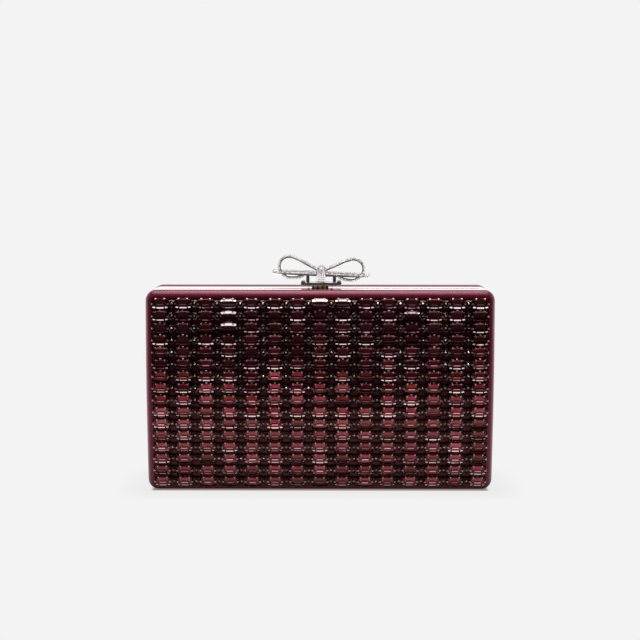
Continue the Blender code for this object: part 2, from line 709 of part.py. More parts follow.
def add_bow(pivot):
    """The bow, rolled a little on its base, with its two legs."""
    bow = add_pivot("bow_pivot", (BOW_MIDDLE, -AXLE_BACK, BOW_LIFT - AXLE_LIFT))
    bow.parent = pivot
    bow.rotation_euler.y = BOW_ROLL
    for name, side in (("left", -1), ("right", 1)):
        wing = add_piece("bow_wing_" + name, ribbon_mesh(side), PAVE, bow)
        thicken(wing, RIBBON_WALL, 0.0)
        combine(wing, add_cutter("bow_tail_" + name, tail_mesh(side), bow), "UNION")
        shade_round(wing)
    top, waist = KNOT_TOP - BOW_LIFT, KNOT_WAIST - BOW_LIFT
    bm = bmesh.new()
    made = bmesh.ops.create_icosphere(bm, subdivisions=KNOT_ROUNDS, radius=0.5)["verts"]
    bmesh.ops.scale(bm, vec=(KNOT_WIDTH, KNOT_DEPTH, top - waist), verts=made)
    bmesh.ops.translate(bm, vec=(0, 0, (top + waist) / 2), verts=made)
    knot = add_piece("bow_knot", mesh_from(bm, "knot"), PAVE, bow)
    foot = PLATE_LOW + PLATE_WALL + CLEARANCE * 2 - BOW_LIFT
    half, depth = KNOT_FOOT_WIDTH / 2, KNOT_FOOT_DEPTH / 2
    stub = box_mesh("stub", ((-half, -depth, foot), (half, depth, waist + KNOT_FOOT_SINK)))
    combine(knot, add_cutter("knot_stub", stub, bow), "UNION")
    for name, side in (("left", -1), ("right", 1)):
        x = BOW_MIDDLE + side * LEG_REACH
        under = BOW_LIFT - TAIL_ROOT / 2 - CLEARANCE * 2 - side * LEG_REACH * math.tan(BOW_ROLL)
        low, high = PLATE_LOW + PLATE_WALL + CLEARANCE - AXLE_LIFT, under - AXLE_LIFT
        y = -AXLE_BACK
        leg = box_mesh("leg", ((x - LEG_WIDTH / 2, y - LEG_DEPTH / 2, low), (x + LEG_WIDTH / 2, y + LEG_DEPTH / 2, high)))
        add_piece("bow_leg_" + name, leg, STEEL, pivot)


clear_scene()
parts = new_collection("clutch")
cutters = new_collection("cutters")
add_case()
add_crystals()
add_catch()
add_bracket()
add_spring()
clasp_pivot = add_pivot("clasp_pivot", (0, AXLE_Y, AXLE_Z))
add_clasp_base(clasp_pivot)
add_bow(clasp_pivot)
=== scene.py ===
import json
import math
import random

import bmesh
import bpy
from mathutils import Matrix, Vector


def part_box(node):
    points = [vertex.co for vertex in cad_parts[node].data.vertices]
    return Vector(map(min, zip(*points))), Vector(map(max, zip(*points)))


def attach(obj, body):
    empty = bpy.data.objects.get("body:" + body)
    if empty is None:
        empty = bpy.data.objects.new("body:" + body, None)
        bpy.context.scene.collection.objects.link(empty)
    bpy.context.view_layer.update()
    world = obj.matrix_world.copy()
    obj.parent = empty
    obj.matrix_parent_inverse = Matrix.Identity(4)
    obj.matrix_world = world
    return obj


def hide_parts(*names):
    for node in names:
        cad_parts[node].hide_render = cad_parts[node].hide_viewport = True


# Evening clutch: satin shells on a polished frame, a pave bow clasp and a mesh of step-cut stones in claw cups.
# Metres, +Z up, the front faces -Y.

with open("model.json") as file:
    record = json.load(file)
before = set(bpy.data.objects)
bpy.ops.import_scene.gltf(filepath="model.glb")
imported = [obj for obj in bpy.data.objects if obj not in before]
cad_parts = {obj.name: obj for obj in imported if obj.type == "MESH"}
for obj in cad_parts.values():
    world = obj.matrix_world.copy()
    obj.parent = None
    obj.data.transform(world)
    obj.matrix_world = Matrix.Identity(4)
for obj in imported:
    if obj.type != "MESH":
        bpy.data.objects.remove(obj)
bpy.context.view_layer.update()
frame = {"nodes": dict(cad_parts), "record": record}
nodes = frame["nodes"]
randomizer = random.Random(16)
print("frame loaded:", len(nodes), "nodes")

# what the frame says about the case
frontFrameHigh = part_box("front_frame")[1]
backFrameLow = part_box("back_frame")[0]
frontCoverLow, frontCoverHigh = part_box("front_cover")
seamY = (frontFrameHigh.y + backFrameLow.y) / 2
caseMiddle = (frontCoverLow.z + frontCoverHigh.z) / 2
frameTop = frontFrameHigh.z
tiny = 0.00001

case = {
    "width": frontCoverHigh.x - frontCoverLow.x,
    "height": frontCoverHigh.z - frontCoverLow.z,
    "cornerRadius": 0.0050,
    "cornerSteps": 8,
    "edgeSteps": 6,
    "sideBulge": 0.0005,
    "faceBulge": 0.0035,
    "frameDepth": 0.0110,
    "faceReach": 0.0190,
}


# camera

def addCamera():
    # fitted to the photo: the optical axis isn't aimed at the case's middle
    values = {
        "lens": 63.56,
        "sensor": 36.0,
        "place": (-0.00010, -0.6098, 0.1632),
        "tilt": math.radians(6.81),
        "roll": math.radians(0.06),
    }
    data = bpy.data.cameras.new("photoCamera")
    data.lens = values["lens"]
    data.sensor_width = values["sensor"]
    data.clip_start = 0.01
    camera = bpy.data.objects.new("photoCamera", data)
    bpy.context.scene.collection.objects.link(camera)
    camera.location = values["place"]
    camera.rotation_euler = (turned(math.pi / 2 - values["tilt"], "X") @ turned(values["roll"], "Z")).to_euler()
    bpy.context.scene.camera = camera


# small tools for modelling

def moved(x, y, z):
    return Matrix.Translation((x, y, z))


def turned(angle, axis):
    return Matrix.Rotation(angle, 4, axis)


def jitter(amount):
    return randomizer.uniform(-1, 1) * amount


def deselectAll():
    if bpy.context.object and bpy.context.object.mode != "OBJECT":
        bpy.ops.object.mode_set(mode="OBJECT")
    bpy.ops.object.select_all(action="DESELECT")


def activate(obj):
    deselectAll()
    obj.select_set(True)
    bpy.context.view_layer.objects.active = obj


def removeObject(obj):
    bpy.data.objects.remove(obj, do_unlink=True)


def startEditing(obj, mode):
    # in edit mode with everything selected
    activate(obj)
    bpy.ops.object.mode_set(mode="EDIT")
    bpy.ops.mesh.select_mode(type=mode)
    bpy.ops.mesh.select_all(action="SELECT")


def stopEditing():
    bpy.ops.object.mode_set(mode="OBJECT")


def selectWhere(obj, kind, test):
    # only the edges or faces that pass the test
    bpy.ops.mesh.select_mode(type=kind)
    bpy.ops.mesh.select_all(action="DESELECT")
    mesh = bmesh.from_edit_mesh(obj.data)
    for item in {"EDGE": mesh.edges, "FACE": mesh.faces}[kind]:
        if test(item):
            item.select_set(True)
    mesh.select_flush_mode()
    bmesh.update_edit_mesh(obj.data)


def extrudeBy(x, y, z):
    bpy.ops.mesh.extrude_region_move(TRANSFORM_OT_translate={"value": (x, y, z)})


def cutAcross(place, direction):
    bpy.ops.mesh.select_all(action="SELECT")
    bpy.ops.mesh.bisect(plane_co=place, plane_no=direction)


def faceOutwards():
    bpy.ops.mesh.select_all(action="SELECT")
    bpy.ops.mesh.normals_make_consistent(inside=False)


def chamferEdges(obj, width):
    startEditing(obj, "EDGE")
    bpy.ops.mesh.bevel(offset=width, segments=1, affect="EDGES")
    stopEditing()


def addModifier(obj, kind, **settings):
    modifier = obj.modifiers.new(kind.lower(), kind)
    for name, value in settings.items():
        setattr(modifier, name, value)


def applyModifiers(obj):
    activate(obj)
    for modifier in list(obj.modifiers):
        bpy.ops.object.modifier_apply(modifier=modifier.name)


def softenEdges(obj, width, segments=3, angle=50):
    addModifier(obj, "BEVEL", width=width, segments=segments, limit_method="ANGLE", angle_limit=math.radians(angle))
    applyModifiers(obj)


def evenShading(obj):
    addModifier(obj, "WEIGHTED_NORMAL", keep_sharp=True)
    applyModifiers(obj)


def addPrimitive(name, operator, scale=(1, 1, 1), **settings):
    deselectAll()
    operator(**settings)
    obj = bpy.context.object
    obj.name = name
    obj.scale = scale
    bpy.ops.object.transform_apply()
    return obj


def addCube(name, low, high):
    low, high = Vector(low), Vector(high)
    return addPrimitive(name, bpy.ops.mesh.primitive_cube_add, high - low, size=1, location=(low + high) / 2)


def finishPiece(obj, name, body, looks, replaced=(), smoothAngle=35):
    activate(obj)
    bpy.ops.object.transform_apply()
    if smoothAngle:
        bpy.ops.object.shade_smooth_by_angle(angle=math.radians(smoothAngle))
    obj.name = name
    obj.data.name = name
    if looks:
        obj.data.materials.clear()
        for look in looks:
            obj.data.materials.append(look)
    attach(obj, body)
    if replaced:
        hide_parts(*replaced)


def bodyOf(nodeName):
    for body, members in frame["record"]["behaviour"]["bodies"].items():
        if nodeName in members:
            return body


# shader tools: a value is a number, a colour, a vector or another node's socket

def feed(tree, socket, value):
    if isinstance(value, bpy.types.NodeSocket):
        tree.links.new(value, socket)
    elif socket.type == "RGBA":
        socket.default_value = (*value, 1)
    else:
        socket.default_value = value


def newNode(tree, kind, inputs=(), **settings):
    node = tree.nodes.new(kind)
    for name, value in settings.items():
        setattr(node, name, value)
    for name, value in dict(inputs).items():
        feed(tree, node.inputs[name], value)
    return node


def newGroup(name, inputs, outputs):
    # inputs with their first values, and outputs that are all numbers
    tree = bpy.data.node_groups.new(name, "ShaderNodeTree")
    for socketName, value in inputs.items():
        kind = "NodeSocketVector" if isinstance(value, tuple) else "NodeSocketFloat"
        tree.interface.new_socket(socketName, in_out="INPUT", socket_type=kind).default_value = value
    for socketName in outputs:
        tree.interface.new_socket(socketName, in_out="OUTPUT", socket_type="NodeSocketFloat")
    return tree, newNode(tree, "NodeGroupInput").outputs, newNode(tree, "NodeGroupOutput").inputs


def mathNode(tree, operation, first, second=0.0):
    return newNode(tree, "ShaderNodeMath", {0: first, 1: second}, operation=operation).outputs["Value"]


def product(tree, first, *others):
    for value in others:
        first = mathNode(tree, "MULTIPLY", first, value)
    return first


def total(tree, first, *others):
    for value in others:
        first = mathNode(tree, "ADD", first, value)
    return first


def oneMinus(tree, value):
    return mathNode(tree, "SUBTRACT", 1.0, value)


def mapRange(tree, value, low, high):
    inputs = {"Value": value, "From Min": low, "From Max": high}
    return newNode(tree, "ShaderNodeMapRange", inputs, interpolation_type="SMOOTHSTEP").outputs["Result"]


def noiseNode(tree, coordinates, scale, detail=2.0, roughness=0.5):
    inputs = {"Vector": coordinates, "Scale": scale, "Detail": detail, "Roughness": roughness}
    return newNode(tree, "ShaderNodeTexNoise", inputs).outputs["Fac"]


def mappingNode(tree, coordinates, scale, location=(0, 0, 0)):
    inputs = {"Vector": coordinates, "Scale": scale, "Location": location}
    return newNode(tree, "ShaderNodeMapping", inputs).outputs["Vector"]


def splitAxes(tree, coordinates):
    return newNode(tree, "ShaderNodeSeparateXYZ", {"Vector": coordinates}).outputs


def mixColours(tree, mask, first, second, blend="MIX"):
    inputs = {"Factor": mask, "A": first, "B": second}
    return newNode(tree, "ShaderNodeMix", inputs, data_type="RGBA", blend_type=blend).outputs["Result"]


def scaleColour(tree, colour, factor):
    return newNode(tree, "ShaderNodeVectorMath", {0: colour, "Scale": factor}, operation="SCALE").outputs["Vector"]


def mixShaders(tree, mask, first, second):
    return newNode(tree, "ShaderNodeMixShader", {0: mask, 1: first, 2: second}).outputs["Shader"]


def rampNode(tree, value, stops):
    ramp = newNode(tree, "ShaderNodeValToRGB", {"Fac": value})
    while len(ramp.color_ramp.elements) < len(stops):
        ramp.color_ramp.elements.new(0.5)
    for element, (place, colour) in zip(ramp.color_ramp.elements, stops):
        element.position = place
        element.color = (*colour, 1)
    return ramp.outputs["Color"]


# effects that several materials share

def makeMetalWear():
    # fine hairlines and soft smudges
    values = {"stretch": (60, 900, 900), "hairlines": 6.0, "smudges": 90.0}
    inputs = {"Vector": (0, 0, 0), "Roughness": 0.1, "Wear": 0.1}
    tree, start, end = newGroup("metalWear", inputs, ("Roughness", "Height"))
    hairlines = noiseNode(tree, mappingNode(tree, start["Vector"], values["stretch"]), values["hairlines"], 3.0)
    smudges = noiseNode(tree, start["Vector"], values["smudges"], 4.0, 0.6)
    rough = total(tree, product(tree, hairlines, smudges, start["Wear"]), start["Roughness"])
    feed(tree, end["Roughness"], rough)
    feed(tree, end["Height"], hairlines)
    return tree


def makeClothGrain():
    # threads crossing each other, with a slow change of tone along the cloth
    values = {
        "distortion": 1.5, "pull": 55.0, "slubStretch": (0.06, 1, 1), "slubs": 1500.0, "slubShare": 0.6,
        "clouds": 45.0, "cloudShare": 0.4, "toneFrom": 0.32, "toneTo": 0.68,
    }
    inputs = {"Vector": (0, 0, 0), "Threads": 1.0, "Pull": 0.0}
    tree, start, end = newGroup("clothGrain", inputs, ("Height", "Tone"))
    threads = []
    for direction in ("X", "Z"):
        inputs = {
            "Vector": start["Vector"], "Scale": start["Threads"], "Distortion": values["distortion"], "Detail": 1.0,
        }
        threads.append(newNode(tree, "ShaderNodeTexWave", inputs, bands_direction=direction).outputs["Fac"])
    pull = product(tree, noiseNode(tree, start["Vector"], values["pull"], 1.0), start["Pull"])
    feed(tree, end["Height"], total(tree, product(tree, *threads), pull))
    # slubs run along the threads
    slubs = noiseNode(tree, mappingNode(tree, start["Vector"], values["slubStretch"]), values["slubs"], 2.0, 0.6)
    clouds = noiseNode(tree, start["Vector"], values["clouds"], 3.0, 0.6)
    tone = total(tree, product(tree, slubs, values["slubShare"]), product(tree, clouds, values["cloudShare"]))
    feed(tree, end["Tone"], mapRange(tree, tone, values["toneFrom"], values["toneTo"]))
    return tree


def makeStoneVariety():
    # two random values for each stone of the mesh, from its cell of the grid
    tree, start, end = newGroup("stoneVariety", {"Vector": (0, 0, 0)}, ("First", "Second"))
    cell = mappingNode(
        tree, start["Vector"], (1 / columnPitch, 0, 1 / rowPitch), (0.5, 0, -gridBottom / rowPitch),
    )
    whole = newNode(tree, "ShaderNodeVectorMath", {0: cell}, operation="FLOOR").outputs["Vector"]
    for name, shift in (("First", (0, 3, 0)), ("Second", (0, 8, 0))):
        other = newNode(tree, "ShaderNodeVectorMath", {0: whole, 1: shift}, operation="ADD").outputs["Vector"]
        white = newNode(tree, "ShaderNodeTexWhiteNoise", {"Vector": other}, noise_dimensions="3D")
        feed(tree, end[name], white.outputs["Value"])
    return tree


def varietyOf(tree, coordinates):
    return newNode(tree, "ShaderNodeGroup", {"Vector": coordinates}, node_tree=stoneVariety).outputs


# materials

def startMaterial(name, colour, roughness, metallic, more=()):
    look = bpy.data.materials.new(name)
    look.use_nodes = True
    tree = look.node_tree
    shader = tree.nodes["Principled BSDF"]
    values = {"Base Color": colour, "Roughness": roughness, "Metallic": metallic, **dict(more)}
    for socketName, value in values.items():
        feed(tree, shader.inputs[socketName], value)
    return look, tree, shader.inputs, newNode(tree, "ShaderNodeTexCoord").outputs["Object"]


def addBump(tree, shader, height, distance, strength):
    inputs = {"Height": height, "Distance": distance, "Strength": strength}
    feed(tree, shader["Normal"], newNode(tree, "ShaderNodeBump", inputs).outputs["Normal"])


def makeMetal(name, colour, other, roughness, wear, bump, maskOf=None):
    # the mask spreads the other colour: a slow cloud of tarnish unless a mask is given, and the given masks paint
    # highlights and glints
    values = {"clouds": 120.0, "bumpDepth": 0.00001}
    look, tree, shader, coordinates = startMaterial(name, colour, roughness, 1.0)
    inputs = {"Vector": coordinates, "Roughness": roughness, "Wear": wear}
    group = newNode(tree, "ShaderNodeGroup", inputs, node_tree=metalWear)
    feed(tree, shader["Roughness"], group.outputs["Roughness"])
    mask = maskOf(tree, coordinates) if maskOf else noiseNode(tree, coordinates, values["clouds"], 3.0)
    feed(tree, shader["Base Color"], mixColours(tree, mask, colour, other))
    addBump(tree, shader, group.outputs["Height"], values["bumpDepth"], bump)
    return look


def paintedBeadShine(tree, coordinates):
    # painted highlight: some beads are made bright
    values = {"from": 0.60, "to": 0.95}
    return mapRange(tree, varietyOf(tree, coordinates)["First"], values["from"], values["to"])


def paintedBrassGlints(tree, coordinates):
    # painted reflection: upright dark and bright glints, as between low ribs
    values = {"pitch": 0.0026, "darkFrom": -0.7, "darkTo": 0.5}
    across = product(tree, splitAxes(tree, coordinates)["X"], 2 * math.pi / values["pitch"])
    return mapRange(tree, mathNode(tree, "COSINE", across), values["darkFrom"], values["darkTo"])


def betweenCups(tree, coordinates):
    # painted shade: the cloth between the cups is darkened, as it lies in their shade
    place = splitAxes(tree, coordinates)
    halfMesh = columnPitch * grid["columns"] / 2 - grid["columnGap"] / 2
    faceEdge = seamY - case["faceReach"] + 0.001
    return product(
        tree,
        mathNode(tree, "LESS_THAN", mathNode(tree, "ABSOLUTE", place["X"]), halfMesh),
        mathNode(tree, "LESS_THAN", place["Z"], gridTop),
        mathNode(tree, "GREATER_THAN", place["Z"], gridBottom),
        mathNode(tree, "LESS_THAN", place["Y"], faceEdge),
    )


def makeCloth(name, values):
    look, tree, shader, coordinates = startMaterial(name, values["colour"], values["roughness"], 0.0, values["finish"])
    inputs = {"Vector": coordinates, "Threads": values["threads"], "Pull": values["pull"]}
    group = newNode(tree, "ShaderNodeGroup", inputs, node_tree=clothGrain)
    colour = mixColours(tree, group.outputs["Tone"], values["colour"], values["shade"])
    # painted shade: the cloth between the cups is darkened
    if "paintedShade" in values:
        colour = mixColours(tree, betweenCups(tree, coordinates), colour, values["paintedShade"], "MULTIPLY")
    feed(tree, shader["Base Color"], colour)
    threadDepth = 0.00004
    addBump(tree, shader, group.outputs["Height"], threadDepth, values["bump"])
    return look


def makeCrystal():
    more = {"IOR": 1.56, "Specular IOR Level": 0.20, "Specular Tint": (1.0, 0.50, 0.48), "Transmission Weight": 1.0}
    look, tree, shader, coordinates = startMaterial("crystalGlass", (0.52, 0.18, 0.26), 0.0, 0.0, more)
    stops = (
        (0.0, (0.34, 0.06, 0.07)), (0.35, (0.48, 0.115, 0.14)), (0.7, (0.58, 0.16, 0.19)), (1.0, (0.66, 0.21, 0.25)),
    )
    feed(tree, shader["Base Color"], rampNode(tree, varietyOf(tree, coordinates)["First"], stops))
    return look


def makeFoil():
    look, tree, shader, coordinates = startMaterial("crystalFoil", (0.8, 0.55, 0.58), 0.07, 1.0)
    stops = (
        (0.0, (0.37, 0.148, 0.097)), (0.12, (0.48, 0.183, 0.210)),
        (0.6, (0.53, 0.212, 0.270)), (1.0, (0.41, 0.140, 0.180)),
    )
    values = {"clouds": 330.0, "cloudStops": ((0.35, (0.6, 0.6, 0.6)), (0.62, (1, 1, 1))), "cloudShare": 0.8}
    tint = rampNode(tree, varietyOf(tree, coordinates)["Second"], stops)
    clouds = rampNode(tree, noiseNode(tree, coordinates, values["clouds"]), values["cloudStops"])
    feed(tree, shader["Base Color"], mixColours(tree, values["cloudShare"], tint, clouds, "MULTIPLY"))
    return look


def rowLine(count):
    # the height of the line below so many rows
    return gridTop - rowPitch * count


def makeFlash():
    # the lower rim facets, with a painted reflection: their colour lets them throw the pale floor back brightly on some
    # stones only, more often in the first and the last rows
    values = {
        "clouds": 320.0, "cloudShare": 0.7, "base": -0.28, "firstRow": 0.45,
        "upper": -0.19, "upperTo": 6, "upperEnd": 9, "lower": 0.16, "lowerFrom": 10.5, "lowerFull": 13,
    }
    look, tree, shader, coordinates = startMaterial("crystalFlash", (0.5, 0.4, 0.4), 0.03, 1.0)
    height = splitAxes(tree, coordinates)["Z"]
    above = mapRange(tree, height, rowLine(values["lowerFull"]), rowLine(values["lowerFrom"]))
    chosen = total(
        tree,
        varietyOf(tree, coordinates)["Second"],
        product(tree, noiseNode(tree, coordinates, values["clouds"], 1.0), values["cloudShare"]),
        values["base"],
        product(tree, mathNode(tree, "GREATER_THAN", height, rowLine(1)), values["firstRow"]),
        product(tree, mapRange(tree, height, rowLine(values["upperEnd"]), rowLine(values["upperTo"])), values["upper"]),
        product(tree, oneMinus(tree, above), values["lower"]),
    )
    stops = (
        (0.0, (0.03, 0.010, 0.012)), (0.30, (0.08, 0.022, 0.028)), (0.42, (0.30, 0.11, 0.13)),
        (0.56, (0.82, 0.42, 0.45)), (0.70, (1.0, 0.83, 0.81)),
    )
    feed(tree, shader["Base Color"], rampNode(tree, chosen, stops))
    return look


def makeCrest(name, dark, light, roughness, fade):
    # the upper rim facets: dark, but a bright copy as a painted highlight on the few stones that catch a panel, duller
    # below the first row as painted shade
    values = {"clouds": 400.0, "from": 0.30, "to": 0.55}
    look, tree, shader, coordinates = startMaterial(name, dark, roughness, 1.0)
    cloud = mapRange(tree, noiseNode(tree, coordinates, values["clouds"]), values["from"], values["to"])
    below = mathNode(tree, "LESS_THAN", splitAxes(tree, coordinates)["Z"], rowLine(1))
    kept = oneMinus(tree, product(tree, below, fade))
    feed(tree, shader["Base Color"], scaleColour(tree, mixColours(tree, cloud, dark, light), kept))
    return look


def makeStep(name, stops, dimTop):
    # a polished step below the table: it mirrors the near floor, and its colour is painted light, brighter on some
    # stones and in the first row, darker in the upper rows as painted shade
    values = {"dimFrom": caseMiddle - 0.01, "dimTo": caseMiddle + 0.03, "firstRow": 0.5}
    look, tree, shader, coordinates = startMaterial(name, stops[-1][1], 0.06, 1.0)
    height = splitAxes(tree, coordinates)["Z"]
    firstRow = mathNode(tree, "GREATER_THAN", height, rowLine(1))
    high = mathNode(tree, "SUBTRACT", mapRange(tree, height, values["dimFrom"], values["dimTo"]), firstRow)
    lit = product(tree, varietyOf(tree, coordinates)["First"], oneMinus(tree, product(tree, high, dimTop)))
    chosen = total(tree, lit, product(tree, firstRow, values["firstRow"]))
    feed(tree, shader["Base Color"], rampNode(tree, chosen, stops))
    return look


def makeClearStone(name, light, dark):
    values = {"clouds": 900.0, "from": 0.36, "to": 0.64}
    look, tree, shader, coordinates = startMaterial(name, light, 0.10, 0.0)
    cloud = mapRange(tree, noiseNode(tree, coordinates, values["clouds"]), values["from"], values["to"])
    feed(tree, shader["Base Color"], mixColours(tree, cloud, light, dark))
    return look


# stage

def addWorld():
    values = {
        "backdrop": 0.896, "dark": 0.115, "overhead": 0.25, "cove": 1.45,
        "overheadFrom": 0.70, "overheadTo": 0.95, "coveFrom": 0.08, "coveTo": 0.40, "coveTop": 0.55, "coveEnd": 0.85,
    }
    world = bpy.data.worlds.new("studio")
    bpy.context.scene.world = world
    world.use_nodes = True
    tree = world.node_tree
    tree.nodes.clear()
    # a white cove behind and at the sides, a dark room where the camera stands
    toward = splitAxes(tree, newNode(tree, "ShaderNodeTexCoord").outputs["Generated"])
    behind = mapRange(tree, toward["Y"], values["coveFrom"], values["coveTo"])
    low = oneMinus(tree, mapRange(tree, toward["Z"], values["coveTop"], values["coveEnd"]))
    overhead = mapRange(tree, toward["Z"], values["overheadFrom"], values["overheadTo"])
    strength = total(
        tree,
        product(tree, overhead, values["overhead"] - values["dark"]),
        values["dark"],
        product(tree, behind, low, values["cove"]),
    )
    room = newNode(tree, "ShaderNodeBackground", {"Strength": strength}).outputs["Background"]
    plain = newNode(tree, "ShaderNodeBackground", {"Color": [values["backdrop"]] * 3}).outputs["Background"]
    seen = newNode(tree, "ShaderNodeLightPath").outputs["Is Camera Ray"]
    newNode(tree, "ShaderNodeOutputWorld", {"Surface": mixShaders(tree, seen, room, plain)})


def addFloor():
    # the camera sees the backdrop through it, darkened round the case's foot, so it has no far edge and
    # the front half still shows when it swings down past the foot; every other ray meets pale paper
    values = {
        "behind": 3.0, "front": 0.27, "halfWidth": 2.0, "white": 0.05, "clouds": 4.0, "cloudWhite": 1.02,
        "roomGlow": 0.80,
        "footHalfWidth": 0.089, "footHalfDepth": 0.0155, "shadowReach": 0.0028, "shadowDepth": 0.68,
        "shadowTint": (1, 0.86, 0.76), "shadeReach": 0.018, "shadeDepth": 0.75, "softReach": 0.026, "softDepth": 0.08,
        "fadeFrom": -0.27, "fadeTo": -0.17, "liftFrom": 0.058, "liftTo": 0.090, "lift": 0.26,
    }
    floor = addPrimitive(
        "floor", bpy.ops.mesh.primitive_plane_add, (2 * values["halfWidth"], values["behind"] + values["front"], 1),
        size=1, location=(0, (values["behind"] - values["front"]) / 2, 0),
    )
    look, tree, shader, coordinates = startMaterial("floorPaper", (0.9, 0.9, 0.9), 0.9, 0.0, {"Specular IOR Level": 0})
    white = Vector([values["white"]] * 3)
    paper = mixColours(tree, noiseNode(tree, coordinates, values["clouds"]), white, white * values["cloudWhite"])
    feed(tree, shader["Base Color"], paper)
    # how far a place is from the case's foot
    place = splitAxes(tree, coordinates)
    squares = []
    for axis, reach in (("X", values["footHalfWidth"]), ("Y", values["footHalfDepth"])):
        beyond = mathNode(tree, "SUBTRACT", mathNode(tree, "ABSOLUTE", place[axis]), reach)
        beyond = mathNode(tree, "MAXIMUM", beyond)
        squares.append(product(tree, beyond, beyond))
    gap = mathNode(tree, "SQRT", total(tree, *squares))
    # the contact shadow, and the soft shade round it
    near, shade, soft = [
        oneMinus(tree, mapRange(tree, gap, 0.0, values[reach])) for reach in ("shadowReach", "shadeReach", "softReach")
    ]
    lit = oneMinus(tree, product(tree, near, values["shadowDepth"]))
    tint = mixColours(tree, near, (1, 1, 1), values["shadowTint"])
    # towards the camera the paper gives less light, and from below none
    under = newNode(tree, "ShaderNodeNewGeometry").outputs["Backfacing"]
    further = product(tree, mapRange(tree, gap, values["liftFrom"], values["liftTo"]), values["lift"])
    glow = product(
        tree,
        mapRange(tree, place["Y"], values["fadeFrom"], values["fadeTo"]),
        values["roomGlow"],
        oneMinus(tree, product(tree, shade, values["shadeDepth"])),
        total(tree, 1.0, further),
        oneMinus(tree, under),
        lit,
    )
    feed(tree, shader["Emission Color"], tint)
    feed(tree, shader["Emission Strength"], glow)
    through = scaleColour(tree, tint, product(tree, lit, oneMinus(tree, product(tree, soft, values["softDepth"]))))
    sheer = newNode(tree, "ShaderNodeBsdfTransparent", {"Color": through}).outputs["BSDF"]
    path = newNode(tree, "ShaderNodeLightPath").outputs
    direct = mathNode(tree, "MAXIMUM", path["Is Camera Ray"], path["Is Shadow Ray"])
    mixed = mixShaders(
        tree, mathNode(tree, "MAXIMUM", direct, under), tree.nodes["Principled BSDF"].outputs["BSDF"], sheer,
    )
    feed(tree, tree.nodes["Material Output"].inputs["Surface"], mixed)
    floor.data.materials.append(look)


def addLamp(name, place, aim, size, power, lit=None):
    # a lamp that lights the objects of one collection, or all
    data = bpy.data.lights.new(name, "AREA")
    data.shape = "RECTANGLE"
    data.size, data.size_y = size
    data.energy = power
    lamp = bpy.data.objects.new(name, data)
    lamp.location = place
    lamp.rotation_euler = (Vector(aim) - Vector(place)).to_track_quat("-Z", "Y").to_euler()
    bpy.context.scene.collection.objects.link(lamp)
    if lit:
        lamp.light_linking.receiver_collection = lit


def addLights():
    values = {
        "aim": (0.0, 0.0, 0.08), "overheadPlace": (0.0, 0.10, 0.85), "overheadSize": (0.8, 0.44), "overheadPower": 8.0,
        "sidePlace": (0.80, 0.10, 0.45), "sideSize": (0.30, 0.50), "sidePower": 0.2,
    }
    addLamp(
        "overheadPanel", values["overheadPlace"], values["aim"],
        values["overheadSize"], values["overheadPower"], bowShade,
    )
    # the bow's stones have a lamp of their own, and this one would bleach them
    for entry in bowShade.collection_objects:
        entry.light_linking.link_state = "EXCLUDE"
    x, y, z = values["sidePlace"]
    for name, side in (("leftPanel", -1), ("rightPanel", 1)):
        addLamp(name, (side * x, y, z), values["aim"], values["sideSize"], values["sidePower"])


# the case

def arcShare(z):
    across = (z - caseMiddle) / (case["height"] / 2)
    return max(0.0, 1 - across * across)


def facePlace(z):
    return case["faceReach"] + case["faceBulge"] * arcShare(z)


def seamBox(name, side, halfWidth, near, far, low, high):
    ends = sorted((seamY + side * near, seamY + side * far))
    return addCube(name, (-halfWidth, ends[0], low), (halfWidth, ends[1], high))


def addTray(name, side, near, far, values):
    # a rounded box, open at the seam, whose face and sides swell out at mid height: a ring if it has no edge round
    halfWidth = case["width"] / 2 - case["sideBulge"] - values["inset"]
    halfHeight = case["height"] / 2 - values["inset"]
    obj = seamBox(name, side, halfWidth, near, far, caseMiddle - halfHeight, caseMiddle + halfHeight)
    openEnds, farY = [seamY + side * near], seamY + side * far
    startEditing(obj, "EDGE")
    selectWhere(obj, "EDGE", lambda e: abs(e.verts[0].co.y - e.verts[1].co.y) > tiny)
    bpy.ops.mesh.bevel(offset=case["cornerRadius"] - values["inset"], segments=case["cornerSteps"], affect="EDGES")
    if values["edgeRound"]:
        selectWhere(obj, "EDGE", lambda e: all(abs(v.co.y - farY) < tiny for v in e.verts))
        bpy.ops.mesh.bevel(offset=values["edgeRound"], segments=case["edgeSteps"], affect="EDGES")
    else:
        openEnds.append(farY)
    for endY in openEnds:
        selectWhere(obj, "FACE", lambda f: all(abs(v.co.y - endY) < tiny for v in f.verts))
        bpy.ops.mesh.delete(type="FACE")
    for cut in range(1, values["cuts"]):
        height = caseMiddle - halfHeight + 2 * halfHeight * cut / values["cuts"]
        cutAcross((0, 0, height), (0, 0, 1))
    stopEditing()
    for vert in obj.data.vertices:
        vert.co.x += math.copysign(case["sideBulge"] * arcShare(vert.co.z), vert.co.x)
        beyond = (abs(vert.co.y - seamY) - case["frameDepth"]) / max(far - case["frameDepth"], tiny)
        if beyond > 0:
            vert.co.y += side * case["faceBulge"] * arcShare(vert.co.z) * min(1, beyond)
    addModifier(obj, "SOLIDIFY", thickness=values["wall"], offset=-1, use_even_offset=True)
    return obj


def padOut(cover, side, near, far, padding):
    # cuts across the side walls, then a soft roll between the frame and the face
    values = {"cuts": (0.06, 0.16, 0.32, 0.55, 0.78), "lean": 0.5, "roundness": 0.8}
    startEditing(cover, "FACE")
    for share in values["cuts"]:
        cutAcross((0, seamY + side * (near + (far - near) * share), 0), (0, 1, 0))
    stopEditing()
    for vert in cover.data.vertices:
        share = (abs(vert.co.y - seamY) - near) / (far - near)
        if 0 < share < 1:
            outward = Vector((vert.normal.x, 0, vert.normal.z)).normalized()
            # pressed where it stands, and in front fullest along the top
            fullness = 1.0 + values["lean"] * (outward.z if side < 0 else min(0, outward.z))
            vert.co += outward * padding * fullness * math.sin(math.pi * share) ** values["roundness"]


